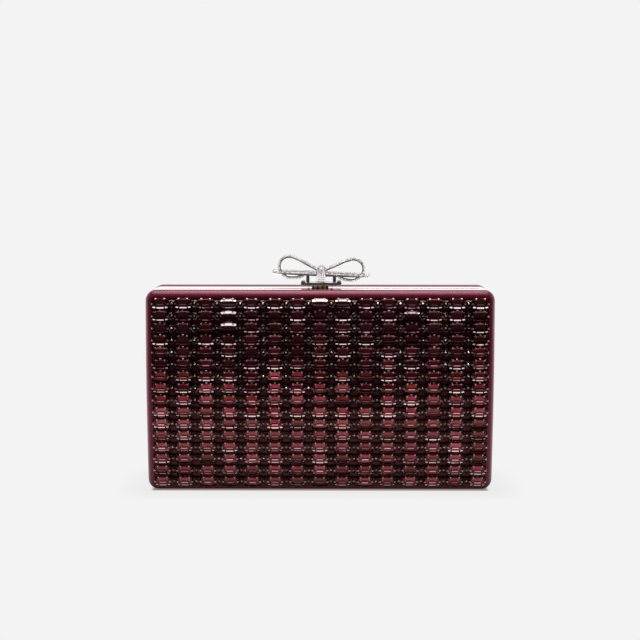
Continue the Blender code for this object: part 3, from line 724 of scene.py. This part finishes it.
def addCovers():
    values = {
        "inset": 0, "wall": 0.0010, "edgeRound": 0.0035, "cuts": 24,
        "gap": 0.0003, "padEnd": 0.0178, "front": 0.0005, "back": 0.0009,
    }
    for half, side in (("front", -1), ("back", 1)):
        name = half + "_cover"
        near = case["frameDepth"] + values["gap"]
        cover = addTray(name, side, near, case["faceReach"], values)
        padOut(cover, side, near, values["padEnd"], values[half])
        evenShading(cover)
        finishPiece(cover, "satin_" + name, bodyOf(name), [satin], [name])


def addFrames():
    values = {
        "inset": -0.0004, "wall": 0.0014, "edgeRound": 0, "cuts": 12, "seamGap": 0.0003, "edge": 0.00035,
        "grooveReach": 0.0032, "grooveTop": 0.00175, "notchHalf": 0.00485, "notchFront": 0.0043,
    }
    wall = values["wall"]
    for name, side in (("front_frame", -1), ("back_frame", 1)):
        ring = addTray(name, side, values["seamGap"] / 2, case["frameDepth"], values)
        applyModifiers(ring)
        cutters = [seamBox("groove", side, case["width"], -wall, values["grooveReach"], -1, values["grooveTop"])]
        if side < 0:
            low = frameTop - 2 * wall
            cutters.append(seamBox("notch", side, values["notchHalf"], -wall, values["notchFront"], low, 1))
        for cutter in cutters:
            addModifier(ring, "BOOLEAN", operation="DIFFERENCE", object=cutter, solver="EXACT")
            applyModifiers(ring)
            removeObject(cutter)
        softenEdges(ring, values["edge"])
        evenShading(ring)
        finishPiece(ring, "polished_" + name, bodyOf(name), [silver], [name])


def addLinings():
    values = {"inset": 0.0031, "recess": 0.0006, "wall": 0.0008, "edgeRound": 0.0015, "cuts": 16, "edge": 0.0003}
    far = case["faceReach"] - values["inset"]
    for half, side in (("front", -1), ("back", 1)):
        name = half + "_lining"
        lining = addTray(name, side, values["recess"], far, values)
        softenEdges(lining, values["edge"], 2, 60)
        evenShading(lining)
        finishPiece(lining, "napped_" + name, bodyOf(name), [nap], [name])


# the crystal mesh

grid = {
    "columns": 15,
    "rows": 16,
    "sideMargin": 0.0036,
    "topMargin": 0.0038,
    "bottomMargin": 0.0030,
    "columnGap": 0.0022,
    "rowGap": 0.0009,
    "seat": 0.0003,
    "stoneShift": 0.00025,
    "stoneTip": math.radians(2.0),
    # stones whose upper facets mirror the panel, as (column, row)
    "shining": ((3, 0), (3, 1), (3, 2), (7, 0), (8, 0), (11, 1)),
    "sideDrift": 0.00012,
    "turn": math.radians(1.0),
    "tip": math.radians(1.3),
}
gridTop = frontCoverHigh.z - grid["topMargin"] + grid["rowGap"] / 2
gridBottom = frontCoverLow.z + grid["bottomMargin"] - grid["rowGap"] / 2
rowPitch = (gridTop - gridBottom) / grid["rows"]
columnPitch = (case["width"] - 2 * grid["sideMargin"] + grid["columnGap"]) / grid["columns"]

stone = {
    "width": columnPitch - 0.0038,
    "height": rowPitch - 0.0011,
    "corner": 0.0009,
    # the corners are cut shallow: how far the long edge reaches, and how far the corner drops
    "reach": 0.0021,
    "drop": 0.00045,
    "girdle": 0.0019,
    "girdleBand": 0.0001,
    # plates as (width, height, distance from the girdle, shift upwards)
    "crown": (
        (0.0074, 0.00412, 0.00040, 0.00012), (0.0068, 0.00280, 0.00050, 0.00055), (0.0064, 0.00220, 0.00058, 0.00070),
    ),
    "shiningCrown": (
        (0.0078, 0.00330, 0.00075, -0.00031), (0.0066, 0.00200, 0.00084, 0.00015), (0.0062, 0.00150, 0.00090, 0.00025),
    ),
    "pavilion": ((0.0076, 0.0045, 0.0006, 0.0), (0.0068, 0.0039, 0.0013, 0.0)),
    "backTop": 0.70,
    "keelWidth": 0.0060,
    "keelEdge": 0.00002,
    "keelDrop": 0.00010,
    "keelPlace": -0.0005,
    "weld": 0.00003,
    # slopes that tell the rim's facets from the steps, and the steps from their ends
    "rimSlope": 0.1,
    "stepSlope": 0.05,
    "endSlope": 0.02,
}
cup = {
    "wall": 0.0002, "height": 0.0023, "floor": 0.0002, "corner": 0.0011,
    "rimShare": 0.3, "lip": 0.0002, "lipDrop": 0.0003, "reach": 0.0022,
}


def gridPlaces():
    # a place for each stone: on its band of the face, with the small unevenness of hand-linked cups
    places = {}
    for column in range(grid["columns"]):
        drift = jitter(grid["sideDrift"])
        lean = jitter(grid["sideDrift"])
        for row in range(grid["rows"]):
            low = gridTop - rowPitch * (row + 1)
            high = low + rowPitch
            near, far = facePlace(low), facePlace(high)
            tilt = math.atan2(far - near, high - low)
            along = row / (grid["rows"] - 1) - 0.5
            x = columnPitch * (column - (grid["columns"] - 1) / 2) + drift + lean * along * 2
            x += jitter(grid["sideDrift"]) / 2
            z = (low + high) / 2 + jitter(grid["sideDrift"]) / 2
            turn = turned(tilt + jitter(grid["tip"]), "X")
            turn = turn @ turned(jitter(grid["turn"]), "Z") @ turned(jitter(grid["turn"]) / 2, "Y")
            places[column, row] = moved(x, seamY - (near + far) / 2, z) @ turn @ moved(0, -grid["seat"], 0)
    return places


def addOctagon(name, width, height, corner, y, reach):
    # an eight-sided plate facing -Y, from a plane with its corners bevelled off, which then become wide and shallow
    obj = addPrimitive(
        name, bpy.ops.mesh.primitive_plane_add, (width, height, 1),
        size=1, location=(0, y, 0), rotation=(math.pi / 2, 0, 0),
    )
    startEditing(obj, "VERT")
    bpy.ops.mesh.bevel(offset=corner, segments=1, affect="VERTICES")
    mesh = bmesh.from_edit_mesh(obj.data)
    for vert in mesh.verts:
        if abs(vert.co.z) > height / 2 - tiny:
            vert.co.x = math.copysign(reach, vert.co.x)
        else:
            vert.co.z = math.copysign(height / 2 - stone["drop"], vert.co.z)
    bmesh.update_edit_mesh(obj.data)
    return obj


def resizePlate(last, plate):
    factors = (plate[0] / last[0], 1, plate[1] / last[1])
    bpy.ops.transform.resize(value=factors, center_override=(0, 0, plate[3]))


def stepPlates(last, plates, direction):
    # each plate is drawn out of the last one
    for plate in plates:
        extrudeBy(0, direction * (plate[2] - last[2]), plate[3] - last[3])
        resizePlate(last, plate)
        last = plate
    return last


def modelStone(crest, crown):
    rim = (stone["width"], stone["height"], 0, 0)
    obj = addOctagon("stone", stone["width"], stone["height"], stone["corner"], -stone["girdle"], stone["reach"])
    # the plate stays selected: the girdle, then the crown steps up to the table
    extrudeBy(0, -stone["girdleBand"], 0)
    stepPlates(rim, crown, -1)
    # then the foiled back, closing to a shallow keel below the middle
    selectWhere(obj, "FACE", lambda f: all(abs(v.co.y + stone["girdle"]) < tiny for v in f.verts))
    last = stepPlates(rim, stone["pavilion"], 1)
    # the back's flat is narrower along its top
    mesh = bmesh.from_edit_mesh(obj.data)
    for vert in mesh.verts:
        if vert.select and vert.co.z > last[3]:
            vert.co.x *= stone["backTop"]
    bmesh.update_edit_mesh(obj.data)
    extrudeBy(0, stone["keelDrop"], stone["keelPlace"])
    resizePlate(last, (stone["keelWidth"], stone["keelEdge"], 0, last[3] + stone["keelPlace"]))
    bpy.ops.mesh.select_mode(type="VERT")
    bpy.ops.mesh.select_all(action="SELECT")
    bpy.ops.mesh.remove_doubles(threshold=stone["weld"])
    faceOutwards()
    stopEditing()
    for look in (crystalGlass, crystalFoil, crystalFlash, crest, crystalEdge, crystalBand):
        obj.data.materials.append(look)
    front = -stone["girdle"] - stone["girdleBand"]
    for face in obj.data.polygons:
        y, slope = face.center.y, face.normal
        if y > -stone["girdle"] + stone["girdleBand"]:
            face.material_index = 1
        elif front - crown[0][2] < y < front and abs(slope.z) > stone["rimSlope"]:
            face.material_index = 2 if slope.z < 0 else 3
        elif y < front and slope.z < -stone["stepSlope"] and abs(slope.x) < stone["endSlope"]:
            face.material_index = 4 if y < front - crown[1][2] else 5
    return obj


def modelCup():
    width = stone["width"] + 2 * cup["wall"]
    height = stone["height"] + 2 * cup["wall"]
    obj = addOctagon("cup", width, height, cup["corner"], 0, cup["reach"])
    extrudeBy(0, -cup["height"], 0)
    bpy.ops.mesh.inset(thickness=cup["wall"] * cup["rimShare"], depth=0)
    # the polished lip slopes in to the stone
    extrudeBy(0, cup["lipDrop"], 0)
    resizePlate((width, height), (width - 2 * cup["lip"], height - 2 * cup["lip"], 0, 0))
    extrudeBy(0, cup["height"] - cup["lipDrop"] - cup["floor"], 0)
    faceOutwards()
    stopEditing()
    obj.data.materials.append(gunmetal)
    obj.data.materials.append(lipMetal)
    for face in obj.data.polygons:
        onLip = -cup["height"] < face.center.y < cup["lipDrop"] - cup["height"]
        face.material_index = 1 if onLip else 0
    return obj


def modelClaw():
    # a stubby claw beside the cup: its chamfered head bends in over the stone's edge, towards -Z
    values = {
        "width": 0.0010, "depth": 0.0003, "rise": 0.00215, "head": 0.00056, "back": 0.00005,
        "reach": 0.00042, "tip": 0.80,
    }
    half, reach, tip = values["width"] / 2, values["reach"], values["tip"]
    obj = addCube("claw", (-half, -values["rise"], 0), (half, 0, values["depth"]))
    startEditing(obj, "FACE")
    selectWhere(obj, "FACE", lambda f: f.normal.y < -0.9)
    extrudeBy(0, -values["head"], -reach)
    bpy.ops.transform.resize(value=(tip, 1, 1))
    extrudeBy(0, values["back"], -reach)
    bpy.ops.transform.resize(value=(tip, 1, tip))
    faceOutwards()
    stopEditing()
    return obj


def modelTie(name, halfWidth, halfHeight, near, far):
    # a dark strip with chamfered edges, deep between the cups
    values = {"chamfer": 0.00022}
    obj = addCube(name, (-halfWidth, -far, -halfHeight), (halfWidth, -near, halfHeight))
    chamferEdges(obj, values["chamfer"])
    return obj


def modelLinkRing():
    # an upright wire ring between two columns
    values = {"radius": 0.0015, "wire": 0.00034, "tall": 1.15}
    return addPrimitive(
        "linkRing", bpy.ops.mesh.primitive_torus_add, (1, values["tall"], 1), major_segments=8, minor_segments=4,
        major_radius=values["radius"], minor_radius=values["wire"], rotation=(math.pi / 2, 0, 0),
    )


def modelLinkBead():
    values = {"radius": 0.00058, "shape": (1.15, 1.0, 0.95)}
    return addPrimitive(
        "linkBead", bpy.ops.mesh.primitive_uv_sphere_add, values["shape"],
        segments=8, ring_count=6, radius=values["radius"],
    )


def copyTo(pattern, places, name):
    # one mesh of copies of a pattern, each with its own place
    mesh = bmesh.new()
    source = bmesh.new()
    source.from_mesh(pattern.data)
    source.verts.ensure_lookup_table()
    for place in places:
        made = [mesh.verts.new(place @ vert.co) for vert in source.verts]
        for face in source.faces:
            new = mesh.faces.new([made[vert.index] for vert in face.verts])
            new.material_index = face.material_index
            new.smooth = face.smooth
    source.free()
    data = bpy.data.meshes.new(name)
    mesh.to_mesh(data)
    mesh.free()
    for look in pattern.data.materials:
        data.materials.append(look)
    obj = bpy.data.objects.new(name, data)
    bpy.context.scene.collection.objects.link(obj)
    return obj


def addCopies(pattern, places, name, looks=None, replaced=()):
    copies = copyTo(pattern, places, name)
    removeObject(pattern)
    finishPiece(copies, name, "front_half", looks, replaced, smoothAngle=0)
    return copies


def addStones(places):
    values = {"lampPlace": (0, -0.45, 0.55), "lampSize": (0.8, 0.45), "lampPower": 2.4}
    strips = [f"crystal_strip_{column + 1:02d}" for column in range(grid["columns"])]
    seats = {False: [], True: []}
    toGirdle, back = moved(0, -stone["girdle"], grid["stoneShift"]), moved(0, stone["girdle"], 0)
    for cell, place in places.items():
        tip = turned(randomizer.gauss(0, 1) * grid["stoneTip"], "X")
        seats[cell in grid["shining"]].append(place @ toGirdle @ tip @ back)
    pattern = modelStone(crystalCrest, stone["crown"])
    addCopies(pattern, seats[False], "step_cut_stones", None, strips)
    pattern = modelStone(crystalShine, stone["shiningCrown"])
    shining = addCopies(pattern, seats[True], "shining_stones")
    # a few stones catch a panel high in front
    shineSet = bpy.data.collections.new("shineSet")
    shineSet.objects.link(shining)
    addLamp("shineLamp", values["lampPlace"], (0, 0, frameTop), values["lampSize"], values["lampPower"], shineSet)


def addClaws(places):
    # two on each long edge of a cup and one on each short edge; the upper and side ones get a lighter metal than the
    # lower ones, as a painted highlight
    values = {"across": 0.0023, "inward": 0.00005}
    halfWidth = stone["width"] / 2 + cup["wall"]
    halfHeight = stone["height"] / 2 + cup["wall"] - values["inward"]
    across = (-values["across"], values["across"])
    upper = [moved(x, 0, halfHeight) for x in across]
    lower = [moved(x, 0, -halfHeight) @ turned(math.pi, "Y") for x in across]
    sides = [moved(side * halfWidth, 0, 0) @ turned(side * math.pi / 2, "Y") for side in (-1, 1)]
    for offsets, name, look in ((upper + sides, "stone_claws", paintedLitClawMetal), (lower, "lower_claws", gunmetal)):
        spots = [place @ offset for place in places.values() for offset in offsets]
        addCopies(modelClaw(), spots, name, [look])


def addLinks(places):
    # plates, rings and beads between neighbours in a row, ties and beads between neighbours in a column
    values = {
        "ring": (0, -0.0014, 0), "ringTurn": 0.5, "bead": (0, -0.0019, 0.0003),
        # beads between the lower rows lie deeper, in the shade
        "upperBead": (0, -0.0017, 0), "lowerBead": (0, -0.0011, 0), "upperRows": 8,
        # ties as (half width, half height, from, to), from the seat outwards
        "plate": (0.0019, 0.0019, 0.0004, 0.0012), "rowTie": (0.0036, 0.0009, 0.0005, 0.0013),
    }
    plates, rings, beads, ties = [], [], [], []
    for (column, row), place in places.items():
        right = places.get((column + 1, row))
        below = places.get((column, row + 1))
        level = place.to_3x3().to_4x4()
        if right:
            between = Matrix.Translation((place.translation + right.translation) / 2) @ level
            plates.append(between)
            rings.append(between @ moved(*values["ring"]) @ turned(jitter(values["ringTurn"]), "Z"))
            beads.append(between @ moved(*values["bead"]))
        if below:
            between = Matrix.Translation((place.translation + below.translation) / 2) @ level
            ties.append(between)
            beads.append(between @ moved(*values["upperBead" if row < values["upperRows"] else "lowerBead"]))
    # the link plates join the columns, and being wide and dark they also stand in for the shade between the cups,
    # hiding the cloth there
    addCopies(modelTie("linkPlate", *values["plate"]), plates, "link_plates", [gunmetal])
    addCopies(modelLinkRing(), rings, "link_rings", [ringMetal])
    addCopies(modelTie("rowTie", *values["rowTie"]), ties, "row_ties", [gunmetal])
    addCopies(modelLinkBead(), beads, "link_beads", [beadMetal])


def addCrystalMesh():
    places = gridPlaces()
    addStones(places)
    addCopies(modelCup(), places.values(), "stone_cups")
    addClaws(places)
    addLinks(places)
    print("crystal mesh:", len(places), "stones")


# the clasp and the bow

bowSet = bpy.data.collections.new("bowStones")
bowShade = bpy.data.collections.new("bowShade")
bow = {
    "middle": 0.0005,
    "lift": 0.0076,
    "roll": math.radians(2.4),
    "depth": 0.0060,
    "wall": 0.0013,
    "overWall": 0.0002,
    "start": 0.0022,
    "startRise": 0.28,
    "reach": 0.0227,
    "rise": 0.0087,
    "dip": 0.0024,
    "return": 0.0094,
    # the loop as shares of its reach and rise, then of its return and dip
    "upper": ((0.36, 0.60), (0.60, 0.90), (0.80, 1.00), (0.95, 0.78), (1.00, 0.45), (0.96, 0.10)),
    "lower": ((0.73, 0.80), (0.42, 1.00), (0.12, 0.72), (0.00, 0.40)),
    "tailStart": 0.0019,
    "tailReach": 0.0262,
    "tailDepth": 0.0050,
    "tailRoot": 0.0026,
    "tailTip": 0.0020,
    "edge": 0.00040,
    "curveSteps": 12,
    # the pave: its pitch, how far it sinks in, and where it starts on the tail
    "pitch": 0.00104,
    "sink": 0.00015,
    "tailPave": 0.0008,
}


def bowPlace():
    return moved(bow["middle"], seamY, frameTop + bow["lift"]) @ turned(bow["roll"], "Y")


def loopPoints():
    points = [(bow["start"], bow["rise"] * bow["startRise"])]
    points += [(bow["reach"] * along, bow["rise"] * up) for along, up in bow["upper"]]
    span = bow["reach"] - bow["return"]
    points += [(bow["return"] + span * along, -bow["dip"] * down) for along, down in bow["lower"]]
    return points


def addLoopCurve(side):
    curve = bpy.data.curves.new("loop", "CURVE")
    curve.dimensions = "2D"
    curve.fill_mode = "NONE"
    curve.extrude = bow["depth"] / 2
    curve.resolution_u = bow["curveSteps"]
    spline = curve.splines.new("BEZIER")
    points = loopPoints()
    spline.bezier_points.add(len(points) - 1)
    for point, (x, z) in zip(spline.bezier_points, points):
        point.co = (side * x, z, 0)
        point.handle_left_type = "AUTO"
        point.handle_right_type = "AUTO"
    obj = bpy.data.objects.new("loop", curve)
    bpy.context.scene.collection.objects.link(obj)
    obj.rotation_euler.x = math.pi / 2
    activate(obj)
    bpy.ops.object.convert(target="MESH")
    bpy.ops.object.transform_apply()
    return bpy.context.object


def modelPaveStone():
    # a small round brilliant: girdle, eight crown facets and a table, facing +Z
    values = {"radius": 0.00050, "depth": 0.00030, "crown": 0.00024, "table": 0.52}
    obj = addPrimitive(
        "paveStone", bpy.ops.mesh.primitive_cylinder_add, vertices=8, radius=values["radius"], depth=values["depth"],
    )
    startEditing(obj, "FACE")
    selectWhere(obj, "FACE", lambda f: f.normal.z > 0.9)
    extrudeBy(0, 0, values["crown"])
    bpy.ops.transform.resize(value=(values["table"], values["table"], 1))
    stopEditing()
    return obj


def paveTurn(outward, along):
    # a matrix whose Z looks outward, with a little unevenness of the setting
    values = {"spin": math.pi / 4, "tip": 0.16}
    turn = Matrix((along, outward.cross(along), outward)).transposed().to_4x4()
    spin = turned(randomizer.uniform(0, values["spin"]), "Z")
    tip = turned(jitter(values["tip"]), "X") @ turned(jitter(values["tip"]), "Y")
    return turn @ spin @ tip


def walkPath(path, pitch):
    # points at even steps along (x, z) points, each with its direction
    travelled, nextAt = 0.0, pitch / 2
    for (x0, z0), (x1, z1) in zip(path, path[1:]):
        step = math.hypot(x1 - x0, z1 - z0)
        while nextAt <= travelled + step:
            share = (nextAt - travelled) / step
            along = Vector((x1 - x0, 0, z1 - z0)).normalized()
            yield Vector((x0 + (x1 - x0) * share, 0, z0 + (z1 - z0) * share)), along
            nextAt += pitch
        travelled += step


def pavePath(path, outwardSign, values):
    # rows across the outer side of a ribbon, and one row on its front edge
    places = []
    depth, rows = values["depth"], values["rows"]
    for middle, along in walkPath(path, values["pitch"]):
        outward = Vector((-along.z, 0, along.x)) * outwardSign
        for row in range(rows):
            y = depth * ((row + 0.5) / rows - 0.5)
            spot = middle + outward * values["lift"] + Vector((0, y, 0))
            places.append(Matrix.Translation(spot) @ paveTurn(outward, along))
        spot = middle + outward * values["edgeLift"] + Vector((0, -depth / 2 - values["proud"], 0))
        turn = paveTurn(Vector((0, -1, 0)), along)
        places.append(Matrix.Translation(spot) @ turn @ Matrix.Scale(values["edgeSize"], 4))
    return places


def spotPlace(spot, outward, tip, size):
    # a larger stone's place, where its Z looks outward
    turn = outward.to_track_quat("Z", "Y").to_matrix().to_4x4()
    return Matrix.Translation(spot) @ turn @ tip @ Matrix.Scale(size, 4)


def pavePiece(pattern, spots, name, look):
    place = bowPlace()
    stones = copyTo(pattern, [place @ spot for spot in spots], name)
    bowSet.objects.link(stones)
    bowShade.objects.link(stones)
    finishPiece(stones, name, "bow_clasp", [look], smoothAngle=0)


def addBowSide(sideName, side, pave):
    loopValues = {
        "depth": bow["depth"], "rows": 6, "pitch": bow["pitch"], "lift": bow["wall"] / 2 - bow["sink"],
        "edgeLift": 0.00036, "edgeSize": 1.0, "proud": 0.00012,
    }
    tailValues = {
        "depth": bow["tailDepth"], "rows": 5, "pitch": bow["pitch"] * 1.2, "lift": -0.0001,
        "edgeLift": -0.00085, "edgeSize": 1.4, "proud": 0.00012,
    }
    loop = addLoopCurve(side)
    edgeY = min(vert.co.y for vert in loop.data.vertices)
    rim = [(vert.co.x, vert.co.z) for vert in loop.data.vertices if abs(vert.co.y - edgeY) < tiny]
    addModifier(loop, "SOLIDIFY", thickness=bow["wall"] + bow["overWall"], offset=0, use_even_offset=True)
    softenEdges(loop, bow["edge"])
    loop.data.transform(bowPlace())
    finishPiece(loop, "bow_loop_" + sideName, "bow_clasp", [silver], ["bow_wing_" + sideName], 50)
    half = bow["tailRoot"] / 2
    ends = sorted((side * bow["tailStart"], side * bow["tailReach"]))
    tail = addCube("tail", (ends[0], -bow["tailDepth"] / 2, -half), (ends[1], bow["tailDepth"] / 2, half))
    startEditing(tail, "FACE")
    selectWhere(tail, "FACE", lambda f: f.normal.x * side > 0.9)
    bpy.ops.transform.resize(value=(1, 1, bow["tailTip"] / bow["tailRoot"]))
    stopEditing()
    softenEdges(tail, bow["edge"], 3, 30)
    tail.data.transform(bowPlace())
    finishPiece(tail, "bow_tail_" + sideName, "bow_clasp", [silver])
    # the loop's points run out along its top, so its outer side lies to the left on the right-hand loop
    spots = pavePath(rim, side, loopValues)
    path = [(side * (bow["tailStart"] + bow["tailPave"]), half), (side * bow["tailReach"], bow["tailTip"] / 2)]
    spots += pavePath(path, side, tailValues)
    pavePiece(pave, spots, "bow_pave_" + sideName, clearStone)


def addKnot(pave):
    # a nugget over a post, both set with larger stones
    values = {
        "size": (0.0045, 0.0068, 0.0050), "height": 0.0018, "stones": 60, "sink": 0.0001, "tip": 0.3, "stoneSize": 1.3,
    }
    post = {
        "halfWidth": 0.0023, "halfDepth": 0.0022, "low": -0.0043, "high": 0.0004, "edge": 0.0005, "stoneSize": 1.25,
        "across": (-0.0018, -0.0006, 0.0006, 0.0018), "rows": 4, "firstRow": 0.0007, "pitch": 0.00125, "proud": 0.0001,
        "fan": 120, "up": 0.25,
    }
    knot = addPrimitive(
        "knot", bpy.ops.mesh.primitive_ico_sphere_add, values["size"],
        subdivisions=3, radius=0.5, location=(0, 0, values["height"]),
    )
    half = Vector(values["size"]) / 2
    spots = []
    for number in range(values["stones"]):
        # evenly spread over the ball, in a spiral
        up = 1 - 2 * (number + 0.5) / values["stones"]
        angle = number * math.pi * (3 - math.sqrt(5))
        flat = math.sqrt(1 - up * up)
        on = Vector((flat * math.cos(angle), flat * math.sin(angle), up))
        outward = Vector((on.x / half.x, on.y / half.y, on.z / half.z)).normalized()
        spot = Vector((on.x * half.x, on.y * half.y, on.z * half.z + values["height"])) - outward * values["sink"]
        spots.append(spotPlace(spot, outward, turned(jitter(values["tip"]), "X"), values["stoneSize"]))
    knot.data.transform(bowPlace())
    finishPiece(knot, "bow_knot_nugget", "bow_clasp", [silver], ["bow_knot"])
    low = (-post["halfWidth"], -post["halfDepth"], post["low"])
    stub = addCube("stub", low, (post["halfWidth"], post["halfDepth"], post["high"]))
    softenEdges(stub, post["edge"], 3, 30)
    stub.data.transform(bowPlace())
    finishPiece(stub, "bow_knot_post", "bow_clasp", [silver])
    pavePiece(pave, spots, "bow_knot_stones", clearStone)
    spots = []
    for row in range(post["rows"]):
        z = post["low"] + post["firstRow"] + row * post["pitch"]
        for x in post["across"]:
            outward = Vector((x * post["fan"], -1, post["up"])).normalized()
            tip = turned(jitter(values["tip"]), "X") @ turned(jitter(values["tip"]), "Y")
            spot = (x, -post["halfDepth"] - post["proud"], z)
            spots.append(spotPlace(spot, outward, tip, post["stoneSize"]))
    # the post's stones get a lighter copy of the stone colour: painted light
    pavePiece(pave, spots, "bow_post_stones", paintedLitStone)


def addBow():
    values = {"lampPlace": (0.0, -0.50, 0.21), "lampSize": (0.4, 0.25), "lampPower": 2.6}
    pave = modelPaveStone()
    addBowSide("left", -1, pave)
    addBowSide("right", 1, pave)
    addKnot(pave)
    removeObject(pave)
    # a lamp of its own, because clear stones send back more light than the room in front gives them
    aim = (0, 0, frameTop + bow["lift"])
    addLamp("bowLamp", values["lampPlace"], aim, values["lampSize"], values["lampPower"], bowSet)
    print("bow done")


def addDressedCopy(nodeName, look, bevel, grown):
    # the CAD solid with its doubles merged, flats joined and edges softened, grown a little to meet its neighbours
    values = {"weld": 0.000005, "flatAngle": math.radians(2), "steps": 2}
    obj = nodes[nodeName].copy()
    obj.data = nodes[nodeName].data.copy()
    for key in list(obj.keys()):
        del obj[key]
    obj.parent = None
    bpy.context.scene.collection.objects.link(obj)
    startEditing(obj, "VERT")
    bpy.ops.mesh.remove_doubles(threshold=values["weld"])
    bpy.ops.mesh.dissolve_limited(angle_limit=values["flatAngle"])
    stopEditing()
    low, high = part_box(nodeName)
    middle = (low + high) / 2
    for vert in obj.data.vertices:
        for axis in range(3):
            vert.co[axis] += math.copysign(grown[axis], vert.co[axis] - middle[axis])
    softenEdges(obj, bevel, values["steps"])
    finishPiece(obj, "soft_" + nodeName, bodyOf(nodeName), [look], [nodeName])


def dressSolids():
    addDressedCopy("clasp_plate", nickel, 0.0002, (0.0006, 0, 0))
    addDressedCopy("clasp_hook", brass, 0.0001, (0, 0, 0))
    for nodeName, grown in (
        ("bow_leg_left", (0, 0, 0.0006)), ("bow_leg_right", (0, 0, 0.0006)),
        ("plate_roll_left", (0, 0, 0)), ("plate_roll_right", (0, 0, 0)),
    ):
        addDressedCopy(nodeName, darkNickel, 0.00025, grown)
    kept = {"front_core": board, "back_core": board, "clasp_bracket": brass}
    for nodeName in ("front_hinge_leaf", "back_hinge_leaf", "hinge_pin", "clasp_spring", "clasp_axle", "catch_leaf"):
        kept[nodeName] = steel
    for nodeName, look in kept.items():
        nodes[nodeName].data.materials.clear()
        nodes[nodeName].data.materials.append(look)


# build everything

addCamera()
bpy.context.scene.view_settings.view_transform = "Standard"
metalWear = makeMetalWear()
clothGrain = makeClothGrain()
stoneVariety = makeStoneVariety()
# colour, tarnish (for the beads and the brass a painted highlight colour), roughness, wear, bump
silver = makeMetal("polishedSilver", (0.97, 0.95, 0.94), (0.93, 0.91, 0.90), 0.04, 0.04, 0.002)
steel = makeMetal("springSteel", (0.55, 0.55, 0.56), (0.45, 0.45, 0.46), 0.25, 0.20, 0.10)
gunmetal = makeMetal("gunmetal", (0.090, 0.024, 0.018), (0.045, 0.011, 0.008), 0.22, 0.15, 0.05)
# a lighter copy of the claw metal for the upper and side claws: painted highlight
paintedLitClawMetal = makeMetal("paintedLitClawMetal", (0.50, 0.38, 0.37), (0.23, 0.155, 0.150), 0.40, 0.10, 0.05)
ringMetal = makeMetal("ringMetal", (0.14, 0.100, 0.086), (0.074, 0.050, 0.042), 0.27, 0.10, 0.05)
lipMetal = makeMetal("lipMetal", (0.13, 0.062, 0.052), (0.07, 0.028, 0.024), 0.10, 0.08, 0.03)
nickel = makeMetal("nickel", (0.64, 0.57, 0.56), (0.56, 0.49, 0.48), 0.06, 0.10, 0.01)
darkNickel = makeMetal("darkNickel", (0.44, 0.39, 0.38), (0.28, 0.25, 0.25), 0.30, 0.20, 0.05)
beadMetal = makeMetal("beadMetal", (0.30, 0.21, 0.19), (1.0, 0.90, 0.89), 0.12, 0.10, 0.05, paintedBeadShine)
brass = makeMetal("brass", (0.12, 0.09, 0.02), (0.98, 0.82, 0.48), 0.30, 0.15, 0.05, paintedBrassGlints)
napSheen = {"Sheen Weight": 0.5, "Sheen Roughness": 0.5, "Sheen Tint": (0.7, 0.3, 0.4)}
# the satin has painted shade between the cups
satin = makeCloth("satin", {
    "colour": (0.114, 0.0073, 0.0208), "shade": (0.150, 0.0103, 0.0284), "paintedShade": (0.30, 0.12, 0.09),
    "roughness": 0.26, "threads": 6000.0, "pull": 5.0, "bump": 0.25,
    "finish": {
        "Specular Tint": (1.0, 0.34, 0.48), "Specular IOR Level": 0.55,
        "Sheen Weight": 0.04, "Sheen Roughness": 0.30, "Sheen Tint": (1.0, 0.35, 0.52),
    },
})
nap = makeCloth("nap", {
    "colour": (0.09, 0.008, 0.022), "shade": (0.12, 0.012, 0.030),
    "roughness": 0.9, "threads": 3500.0, "pull": 0.0, "bump": 0.5, "finish": napSheen,
})
board = makeCloth("board", {
    "colour": (0.10, 0.08, 0.08), "shade": (0.14, 0.12, 0.11),
    "roughness": 0.8, "threads": 1200.0, "pull": 0.0, "bump": 0.2, "finish": napSheen,
})
crystalGlass = makeCrystal()
crystalFoil = makeFoil()
crystalFlash = makeFlash()
crystalCrest = makeCrest("crystalCrest", (0.035, 0.014, 0.016), (0.06, 0.026, 0.028), 0.08, 0.0)
crystalShine = makeCrest("crystalShine", (0.88, 0.77, 0.76), (1.0, 0.92, 0.91), 0.30, 0.45)
crystalEdge = makeStep("crystalEdge", (
    (0.0, (0.06, 0.012, 0.015)), (0.25, (0.40, 0.12, 0.14)), (0.60, (0.75, 0.32, 0.36)), (1.0, (1.0, 0.60, 0.63)),
), 0.84)
crystalBand = makeStep("crystalBand", (
    (0.0, (0.02, 0.005, 0.006)), (0.30, (0.07, 0.018, 0.022)), (0.75, (0.12, 0.032, 0.040)), (1.0, (0.20, 0.06, 0.075)),
), 0.30)
clearStone = makeClearStone("clearStone", (0.80, 0.79, 0.77), (0.32, 0.31, 0.30))
# a lighter copy of the clear stone for the knot's post: painted light
paintedLitStone = makeClearStone("paintedLitStone", (1.0, 0.95, 0.94), (0.88, 0.80, 0.80))
print("materials made")

addCovers()
addFrames()
addLinings()
print("case done")
addCrystalMesh()
addBow()
dressSolids()
addWorld()
addFloor()
addLights()
print("stage done")
